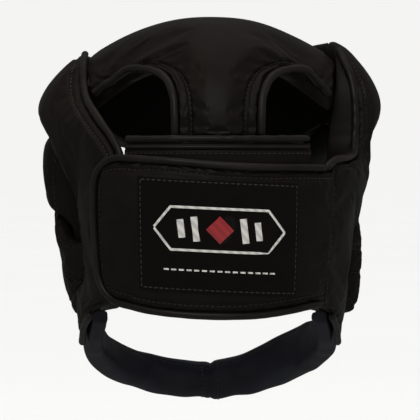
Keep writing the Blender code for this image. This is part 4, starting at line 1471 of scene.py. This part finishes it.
@dataclass
class ChinBar:
    """The padded bar from jaw to jaw under the chin, sewn at its middle."""

    finishes: Finishes
    thickness: float = 0.028
    shape: Table = Table(
        ("turn", "top_left", "top_right", "bottom_left", "bottom_right", "full"),
        (
            (56.0, 0.700, 0.700, 0.736, 0.736, 0.0),
            (64.0, 0.706, 0.706, 0.772, 0.772, 0.0),
            (76.0, 0.718, 0.718, 0.803, 0.802, 0.0),
            (84.0, 0.726, 0.726, 0.818, 0.815, 0.04),
            (92.0, 0.735, 0.732, 0.832, 0.826, 0.16),
            (105.0, 0.754, 0.739, 0.856, 0.846, 0.34),
            (121.0, 0.788, 0.750, 0.892, 0.874, 0.52),
            (138.0, 0.826, 0.772, 0.934, 0.916, 0.74),
            (153.0, 0.858, 0.814, 0.970, 0.958, 0.90),
            (167.0, 0.884, 0.866, 0.992, 0.989, 0.98),
            (180.0, 0.896, 0.896, 1.000, 1.000, 1.0),
        ),
    )

    def build(self) -> list[StitchRow]:
        """Builds the bar: at each turn a squared oval between its upper and lower edge, from the form to its
        thickness out. Its inner face, which the rear view shows, has a groove at the middle and a row of
        stitches under its upper edge.

        Returns:
            The rows of stitches on it.
        """
        half = np.linspace(56.0, 180.0, 66)
        read = {name: self.shape.over(name, "turn", half) for name in self.shape.columns}
        turn = np.concatenate([half, 360 - half[-2::-1]])[:, None]
        top, bottom, full = (
            np.concatenate([read[right], read[left][-2::-1]])[:, None]
            for right, left in (("top_right", "top_left"), ("bottom_right", "bottom_left"), ("full", "full"))
        )
        thick = BAR_END_THICKNESS + (self.thickness - BAR_END_THICKNESS) * full
        angle = np.linspace(0, 2 * math.pi, 44, endpoint=False)
        up = np.sign(np.sin(angle)) * np.abs(np.sin(angle)) ** 0.62
        out = np.sign(np.cos(angle)) * np.abs(np.cos(angle)) ** 0.62
        grid = FORM.at(turn, (top + bottom) / 2 - (bottom - top) / 2 * up, thick * (0.5 + 0.5 * out))
        grid = finer(grid)
        along = lengths(grid, 0).mean(axis=1)[:, None]
        middle = np.abs(along - along.max() / 2)
        angle = np.linspace(0, 2 * math.pi, grid.shape[1], endpoint=False)
        inside = ramp(-np.cos(angle), 0.1, 0.7)[None]
        high = np.exp(-(((np.sin(angle) - 0.72) / 0.06) ** 2))[None]
        depth = -0.0008 * np.exp(-((middle / 0.0011) ** 2))
        depth = depth + 0.0003 * np.exp(-(((middle - 0.004) / 0.003) ** 2))
        depth = depth + 0.0009 * wobble(along, 0.013, 91) * wobble(angle[None] * 0.02, 0.016, 92)
        depth = depth - 0.0006 * inside * high
        depth = depth + 0.0004 * inside * wobble(along, 0.005, 93) * np.exp(-middle / 0.012)
        grid = grid + normals_of(grid) * depth[..., None]
        bar = tube_object("chin_bar_cover", grid)
        place_piece(bar, self.finishes.chin, Slot.CHIN, "chin_bar")
        normal = normals_of(grid)
        inner_row = int(np.argmin(np.abs(np.sin(angle) - 0.72) + (np.cos(angle) > 0)))
        centre = int(np.argmin(middle[:, 0]))
        inner_face = np.flatnonzero((np.cos(angle) < -0.1))
        rows = [StitchRow(grid[20:-20, inner_row], normal[20:-20, inner_row])]
        for off in (-5, 5):
            rows.append(StitchRow(grid[centre + off, inner_face], normal[centre + off, inner_face], 0.003))
        return rows


@dataclass
class RearClosure:
    """What closes the guard behind: tail, hook strip, back tab and the flap over them."""

    finishes: Finishes
    tail_stands_off: float = 0.002
    tail_thickness: float = 0.006
    tab_thickness: float = 0.003
    facing_thickness: float = 0.0012
    flap_thickness: float = 0.006
    flap_corner: float = 0.017
    tab_turns: tuple[float, float] = (-29.0, 36.0)
    shape: Table = Table(
        ("turn", "top", "bottom", "lift"),
        (
            (-38.6, 0.281, 0.668, 0.7),
            (-34.0, 0.279, 0.676, 0.5),
            (-29.0, 0.278, 0.683, 0.25),
            (-20.0, 0.281, 0.697, 0.0),
            (-8.0, 0.288, 0.707, 0.0),
            (4.0, 0.297, 0.711, 0.0),
            (16.0, 0.302, 0.709, 0.0),
            (26.0, 0.303, 0.700, 0.0),
            (34.0, 0.304, 0.692, 0.0),
            (41.3, 0.305, 0.688, 0.0),
        ),
    )

    @property
    def tab_inside(self) -> float:
        """How far out the back tab's inner face lies."""
        return self.tail_stands_off + self.tail_thickness + 2 * CLEARANCE

    @property
    def facing_inside(self) -> float:
        """How far out the facing's inner face lies."""
        return self.tab_inside + self.tab_thickness + CLEARANCE

    @property
    def flap_inside(self) -> float:
        """How far out the flap's inner face lies."""
        return self.facing_inside + self.facing_thickness + 2 * CLEARANCE

    def band(
        self,
        name: str,
        turns: tuple[float, float],
        levels: tuple[float, float],
        inside: float,
        thick: float,
        finish: bpy.types.Material,
        slot: Slot,
        puff: float = 0.0,
    ) -> bpy.types.Object:
        """A flat band on the form with rounded edges, at one distance out.

        Args:
            name: the piece and its node.
            turns: where it begins and ends.
            levels: its upper and lower edge.
            inside: how far out its inner face lies.
            thick: its thickness.
            finish: its material.
            slot: the record's slot.
            puff: how much its outer face swells in the middle, in metres.

        Returns:
            The band's object.
        """
        turn = np.linspace(*turns, 90)[:, None]
        flat = np.linspace(0.03, 0.97, 30)
        bend = np.linspace(0, math.pi, 8)[1:-1]
        bulge = 0.03 * np.sin(bend)
        share = np.concatenate([flat, 0.97 + bulge, flat[::-1], 0.03 - bulge])[None]
        height = np.concatenate([np.ones(30), np.cos(bend), -np.ones(30), -np.cos(bend)])[None]
        level = levels[0] + (levels[1] - levels[0]) * share
        out = inside + thick * (0.5 + 0.5 * height)
        out = out + puff * (height > 0.5) * (1 - (2 * share - 1) ** 2) * (0.6 + 0.4 * wobble(turn, 6.0, 5))
        piece = tube_object(name + "_band", FORM.at(turn, level, out))
        place_piece(piece, finish, slot, name)
        return piece

    def flap_faces(self) -> tuple[np.ndarray, np.ndarray, np.ndarray]:
        """The flap's outer and inner faces and the path of its rolled edge. The left corners are quarter
        circles, and the right end follows the slanting seam."""
        turns = self.shape.read("turn")
        corner = math.degrees(self.flap_corner / FORM.inner_rear)
        rounding = turns[0] + corner * np.linspace(0, 1, 14)[:-1] ** 1.9
        turn = np.concatenate([rounding, np.linspace(turns[0] + corner, turns[-1], 50)])
        top, bottom, lift = (smooth(turn, turns, self.shape.read(name)) for name in ("top", "bottom", "lift"))
        short = np.clip(1 - (turn - turns[0]) / corner, 0, 1)
        cut = self.flap_corner / FORM.drop * (1 - np.sqrt(1 - short**2))
        top, bottom = top + cut, bottom - cut
        border = (2 * EDGE_RADIUS + 2 * CLEARANCE) / FORM.drop
        edge_out = self.flap_inside + (lift + 0.5) * self.flap_thickness
        across = FORM.at(turn, top + border / 2, edge_out)
        under = FORM.at(turn, bottom - border / 2, edge_out)
        path = np.concatenate([across[::-1], under])
        share = np.linspace(0, 1, 34)
        level = (top + 0.85 * border)[:, None] + (bottom - top - 1.7 * border)[:, None] * share
        inset = turn[0] + math.degrees(0.85 * border * FORM.drop / FORM.inner_rear)
        inset = np.maximum(turn, inset + 0.12 * np.arange(len(turn)))[:, None]
        near_seam = np.clip((inset - 20) / (turn[-1] - 20), 0, 1)
        inset = inset + near_seam * (seam_turn(level) - SEAM_GAP - turn[-1])
        inside = (self.flap_inside + lift * self.flap_thickness)[:, None]
        swell = 0.72 + 0.28 * np.clip(1 - np.abs(2 * share - 1) ** 6, 0, 1)
        outer = FORM.at(inset, level, inside + self.flap_thickness * swell)
        return outer, FORM.at(inset, level, inside + 0 * level), path

    def build(self) -> list[StitchRow]:
        """Builds all of the closure.

        Returns:
            The rows of stitches on it.
        """
        made = self.finishes
        tail = (self.tail_stands_off, self.tail_thickness)
        self.band("closure_tail", (-35.15, 14.0), (0.335, 0.655), *tail, made.tape, Slot.CLOTH)
        strip = self.flap_inside - self.tab_inside - 2 * CLEARANCE
        self.band("hook_strip", (-33.0, 12.0), (0.43, 0.64), self.tab_inside, strip, made.tape, Slot.CLOTH)
        back = (self.tab_inside, self.tab_thickness, made.leather, Slot.LEATHER)
        self.band("back_tab", self.tab_turns, (0.252, 0.415), *back)
        facing = (self.tab_turns[0] + 0.4, self.tab_turns[1] - 0.4)
        front = (self.facing_inside, self.facing_thickness, made.leather, Slot.LEATHER)
        self.band("tab_facing", facing, (0.270, 0.415), *front, puff=0.0006)
        turn = np.linspace(*self.tab_turns, 40)
        level = 0.252 - (HEM_RADIUS + CLEARANCE) / FORM.drop
        path = FORM.at(turn, level, self.tab_inside + self.tab_thickness / 2)
        RolledEdge("tab_hem", path, path * LEVELLED, HEM_RADIUS, made.edging, uneven=0.13, seed=63).build()
        turn = np.linspace(facing[0] + 0.3, facing[1] - 0.3, 60)
        path = FORM.at(turn, 0.262, self.facing_inside + 0.0003)
        RolledEdge(
            "facing_fold", path, path * LEVELLED, FOLD_RADIUS, made.edging, seed=66, extra=True
        ).build()
        sewn = FORM.at(turn, 0.2785, self.facing_inside + self.facing_thickness + 0.0004)
        facing_row = StitchRow(sewn, unit(sewn * LEVELLED))
        outer, inner, edge = self.flap_faces()
        seams = (
            Seam(0.0045, start=0.03, depth=0.0007),
            Seam(0.0045, far=True, start=0.03, depth=0.0007),
            Seam(at=0.025, start=0.06, end=0.94, depth=0.0007),
        )
        flap = SoftPad(
            "closure_flap", outer, inner, made.leather, seams=seams, reach=0.0012, round_ends=False, fill=0.4,
            pucker=0.00018, uneven=0.0005, seed=97,
        )
        flap.build()
        RolledEdge(
            "flap_edge", edge, edge * LEVELLED, EDGE_RADIUS, made.edging, uneven=0.03, seed=64
        ).build()
        return [*flap.stitch_rows(), facing_row]


@dataclass
class Label:
    """The satin patch on the flap, with a plain embroidered emblem."""

    finishes: Finishes
    inside: float
    width: float = 0.1065
    height: float = 0.0725
    level: float = 0.335
    shift: float = 0.0052

    def spot(self, across: np.ndarray, down: np.ndarray, out: float | np.ndarray) -> np.ndarray:
        """Points on the patch.

        Args:
            across: metres to the wearer's right of its middle.
            down: metres below its top edge.
            out: metres out from the flap.

        Returns:
            The points.
        """
        turn = np.degrees(across / (FORM.inner_rear + self.inside))
        turn = turn + math.degrees(self.shift / FORM.inner_rear)
        slant = 0.00042 * np.degrees((across + self.width / 2) / (FORM.inner_rear + self.inside))
        return FORM.at(turn, self.level + slant + down / FORM.drop, self.inside + out)

    def ripple(self, across: np.ndarray, down: np.ndarray) -> np.ndarray:
        """How far the satin stands off the flap: slow waves that die out at its sewn border."""
        inside = np.minimum(self.width / 2 - np.abs(across), self.height / 2 - np.abs(down - self.height / 2))
        waves = wobble(across + 0.4 * down, 0.017, 7) * wobble(down - 0.3 * across, 0.019, 8)
        return 0.0007 * waves * ramp(inside, 0.003, 0.012)

    def build_patch(self) -> bpy.types.Object:
        """The patch: a thin closed sheet, its outer face rippled, with a UV map in metres."""
        across = np.linspace(-self.width / 2, self.width / 2, 108)[:, None]
        down = np.linspace(0, self.height, 74)[None]
        across, down = np.broadcast_arrays(across, down)
        ripple = self.ripple(across, down)
        outer = self.spot(across, down, 0.0009 + ripple)
        inner = self.spot(across, down, 0.0002 + ripple)
        ring = np.concatenate([outer, inner[:, ::-1]], axis=1)
        patch = tube_object("label_satin_patch", ring)
        flat = np.stack([across, down], axis=-1)
        flat = np.concatenate([flat, flat[:, ::-1]], axis=1).reshape(-1, 2)
        ends = ring.shape[1]
        near, far = flat[:ends], flat[-ends:]
        places = np.concatenate([near, near, flat, far, far, flat[:1], flat[-1:]])
        corners = np.empty(len(patch.data.loops), np.int32)
        patch.data.loops.foreach_get("vertex_index", corners)
        layer = patch.data.uv_layers.new(name="weave")
        layer.data.foreach_set("uv", places[corners].astype(np.float32).ravel())
        place_piece(patch, self.finishes.satin, Slot.SATIN, "label_patch")
        return patch

    def build_embroidery(
        self,
        name: str,
        outline: np.ndarray,
        finish: bpy.types.Material,
    ) -> bpy.types.Object:
        """A raised patch of satin stitch inside a closed outline, as rings drawn in to its middle and lifted
        as a shallow dome.

        Args:
            name: the piece's name.
            outline: (count, 2) metres across and down.
            finish: its thread.

        Returns:
            The embroidery's object.
        """
        centre = outline.mean(axis=0)
        scale = np.array([1.0, 1.0, 0.97, 0.9, 0.6, 0.3])[:, None, None]
        lift = np.array([0.0, 0.0003, 0.00055, 0.0007, 0.0008, 0.0008])[:, None]
        flat = centre + (outline[None] - centre) * scale
        across, down = flat[..., 0], flat[..., 1]
        ripple = self.ripple(across, down)
        grid = self.spot(across, down, 0.0009 + ripple + lift)
        piece = tube_object(name, grid)
        place_piece(piece, finish, Slot.SATIN)
        return piece

    def build_band(
        self,
        name: str,
        path: np.ndarray,
        width: float,
        finish: bpy.types.Material,
    ) -> bpy.types.Object:
        """A raised line of satin stitch along a path: a flattened half oval carried along it.

        Args:
            name: the piece's name.
            path: (count, 2) metres across and down.
            width: its width.
            finish: its thread.

        Returns:
            The line's object.
        """
        along = unit(np.gradient(path, axis=0))
        side = np.stack([-along[:, 1], along[:, 0]], axis=1)
        angle = np.linspace(0, 2 * math.pi, 12, endpoint=False)
        flat = path[:, None] + side[:, None] * (np.cos(angle) * width / 2)[None, :, None]
        lift = 0.0009 + 0.0003 + 0.00042 * np.sin(angle)[None]
        grid = self.spot(flat[..., 0], flat[..., 1], lift + self.ripple(flat[..., 0], flat[..., 1]))
        piece = tube_object(name, grid)
        place_piece(piece, finish, Slot.SATIN)
        return piece

    def build(self) -> list[StitchRow]:
        """Builds the patch and its emblem: a long six-sided outline with bars and a red lozenge inside, and a
        dashed line under it.

        Returns:
            The row of stitches round the patch.
        """
        self.build_patch()
        middle = self.height * 0.44
        half, tall, point = 0.042, 0.0135, 0.011
        corners = np.array(
            [(-half, 0), (-half + point, -tall), (half - point, -tall), (half, 0), (half - point, tall),
             (-half + point, tall), (-half, 0)]
        ) + [0.0, middle]
        places = travelled(corners)
        at = np.linspace(0.0005, places[-1] - 0.0005, 240)
        outline = np.stack([np.interp(at, places, corners[:, k]) for k in range(2)], axis=1)
        self.build_band("emblem_outline", outline, 0.0016, self.finishes.white_thread)
        bars = [(-0.0245, 0.0115), (-0.0155, 0.0155), (0.0155, 0.0155), (0.0245, 0.0115)]
        for number, (x, tall_bar) in enumerate(bars):
            down = np.linspace(-tall_bar / 2, tall_bar / 2, 24)
            path = np.stack([x + 0.12 * down, middle + down], axis=1)
            self.build_band(f"emblem_bar_{number + 1}", path, 0.0044, self.finishes.white_thread)
        angle = np.linspace(0, 2 * math.pi, 49)[:-1]
        size = 0.0088 / (np.abs(np.cos(angle)) + np.abs(np.sin(angle)))
        lozenge = np.stack([size * np.cos(angle), middle + size * np.sin(angle)], axis=1)
        self.build_embroidery("emblem_lozenge", lozenge, self.finishes.red_thread)
        dash = np.linspace(-0.0016, 0.0016, 6)
        for number, x in enumerate(np.linspace(-0.034, 0.034, 15)):
            path = np.stack([x + dash, np.full(6, self.height * 0.80)], axis=1)
            self.build_band(f"emblem_dash_{number + 1}", path, 0.0011, self.finishes.white_thread)
        inset = 0.0022
        wide, high = self.width / 2 - inset, self.height - inset
        frame = np.array([(-wide, inset), (wide, inset), (wide, high), (-wide, high), (-wide, inset)])
        places = travelled(frame)
        at = np.linspace(0, places[-1], 400)
        across, down = (np.interp(at, places, frame[:, k]) for k in range(2))
        points = self.spot(across, down, 0.0009 + self.ripple(across, down))
        return [StitchRow(points, unit(self.spot(across, down, 0.01) - points), LABEL_STITCH_PITCH)]


@dataclass(frozen=True)
class Studio:
    """A pale floor, soft light and the camera, which looks at the back of the guard."""

    distance: float = 1.8
    elevation: float = 1.5
    target: tuple[float, float, float] = (0.0, 0.0, -0.107)
    lens: float = 36.0 * 2666 / 420
    floor: float = -0.42

    def build(self) -> None:
        """Makes the camera, the floor, the lights and the surrounding light."""
        scene = bpy.context.scene
        lens = bpy.data.cameras.new("camera")
        lens.lens = self.lens
        lens.sensor_width = 36.0
        lens.clip_end = 60.0
        camera = bpy.data.objects.new("camera", lens)
        scene.collection.objects.link(camera)
        lean = math.radians(self.elevation)
        camera.location = (
            self.target[0],
            self.target[1] - self.distance * math.cos(lean),
            self.target[2] + self.distance * math.sin(lean),
        )
        camera.rotation_euler = (math.radians(90) - lean, 0.0, 0.0)
        scene.camera = camera
        self._floor()
        self._light("key", (-0.3, -1.7, 1.3), 1.3, 7.0)
        self._light("fill", (1.3, -1.6, 0.5), 1.2, 0.7)
        self._light("top", (0.1, 0.35, 1.7), 1.2, 1.2)
        sun = bpy.data.lights.new("sky", "SUN")
        sun.energy = 3.12
        sun.angle = math.radians(60)
        lamp = bpy.data.objects.new("sky", sun)
        scene.collection.objects.link(lamp)
        lamp.visible_glossy = False
        world = bpy.data.worlds.new("studio")
        world.use_nodes = True
        tree = world.node_tree
        ground = tree.nodes["Background"]
        ground.inputs["Color"].default_value = linear("#f4f4f3")
        ground.inputs["Strength"].default_value = 0.13
        seen = node(tree, "ShaderNodeBackground", {"Color": linear("#f4f4f3"), "Strength": 1.0})
        rays = node(tree, "ShaderNodeLightPath")
        mixed = node(
            tree,
            "ShaderNodeMixShader",
            {0: rays.outputs["Is Camera Ray"], 1: ground.outputs[0], 2: seen.outputs[0]},
        )
        tree.links.new(mixed.outputs[0], tree.nodes["World Output"].inputs[0])
        scene.world = world
        scene.view_settings.view_transform = "Standard"

    def _floor(self) -> None:
        """The floor: a round plane of one face ring."""
        angle = np.linspace(0, 2 * math.pi, 64, endpoint=False)
        points = np.stack([40 * np.cos(angle), 40 * np.sin(angle), np.full(64, self.floor)], axis=1)
        floor = new_object("floor", points, [tuple(range(64))], smooth_shade=False)
        pale = bpy.data.materials.new("painted_floor")
        pale.use_nodes = True
        tree = pale.node_tree
        shader = tree.nodes["Principled BSDF"]
        where = node(tree, "ShaderNodeTexCoord").outputs["Object"]
        cloud = node(tree, "ShaderNodeTexNoise", {"Vector": where, "Scale": 2.0, "Detail": 2.0})
        tone = node(tree, "ShaderNodeMix", data_type="RGBA")
        tree.links.new(cloud.outputs["Fac"], tone.inputs[0])
        tone.inputs[6].default_value = linear("#f0f0ee")
        tone.inputs[7].default_value = linear("#f4f4f3")
        tree.links.new(tone.outputs[2], shader.inputs["Base Color"])
        shader.inputs["Roughness"].default_value = 0.9
        floor.data.materials.append(pale)
        floor.visible_glossy = False

    def _light(self, name: str, place: tuple[float, float, float], size: float, power: float) -> None:
        """A square soft box that faces the guard."""
        soft = bpy.data.lights.new(name, "AREA")
        soft.size = size
        soft.energy = power
        lamp = bpy.data.objects.new(name, soft)
        bpy.context.scene.collection.objects.link(lamp)
        lamp.location = place
        aim = np.array(self.target) - np.array(place)
        flat = math.hypot(aim[0], aim[1])
        lamp.rotation_euler = (math.atan2(flat, -aim[2]), 0.0, math.atan2(aim[1], aim[0]) - math.pi / 2)


def main() -> None:
    """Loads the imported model, dresses it and sets up the studio."""
    logging.basicConfig(level=logging.INFO, format="%(name)s: %(message)s")
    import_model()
    finishes = Finishes.make()
    black: list[StitchRow] = []
    black += Crown(finishes).build()
    closure = RearClosure(finishes)
    left = SidePad(
        finishes,
        Side.LEFT,
        LEFT_SHAPE,
        1.08,
        0.5,
        seams=(
            Seam(0.0065, start=0.25, end=0.9),
            Seam(0.0038, far=True, start=0.16, end=0.98, depth=0.0014, spread=0.0012),
        ),
        creases=(Crease(0.33, 0.25, 20.0, depth=0.0005), Crease(0.44, 0.5, -35.0, depth=0.0005)),
    )
    right = SidePad(
        finishes,
        Side.RIGHT,
        RIGHT_SHAPE,
        1.05,
        0.88,
        seams=(
            Seam(0.0060, start=0.62, end=0.8),
            Seam(0.0038, far=True, start=0.16, end=0.6, depth=0.0014, spread=0.0012),
            Seam(0.0020, far=True, start=0.63, end=0.80, depth=0.0003),
            Seam(0.0045, far=True, start=0.63, end=0.80, depth=0.0003),
        ),
        creases=(Crease(0.33, 0.25, -20.0, depth=0.0006), Crease(0.42, 0.55, 35.0, depth=0.0006)),
        meets=closure.flap_faces()[2][0],
    )
    black += left.build() + right.build()
    face = FacePads(finishes)
    black += face.build_forehead()
    black += face.build_cheek(Side.LEFT, 1.03, LEFT_SHAPE, LEFT_JAW, 86.0)
    black += face.build_cheek(Side.RIGHT, 0.80, RIGHT_SHAPE, RIGHT_JAW, 95.0)
    black += face.build_jaw(Side.LEFT, 1.08, LEFT_JAW, 0.62, 0.028)
    black += face.build_jaw(Side.RIGHT, 1.05, RIGHT_JAW, 0.05, 0.020)
    black += ChinBar(finishes).build()
    black += closure.build()
    label = Label(finishes, closure.flap_inside + closure.flap_thickness + 2 * CLEARANCE)
    brown = label.build()
    Stitches("seam_stitches", black, finishes.thread).build()
    Stitches("label_stitches", brown, finishes.brown_thread, Slot.SATIN).build()
    Studio().build()


if __name__ == "__main__":
    main()
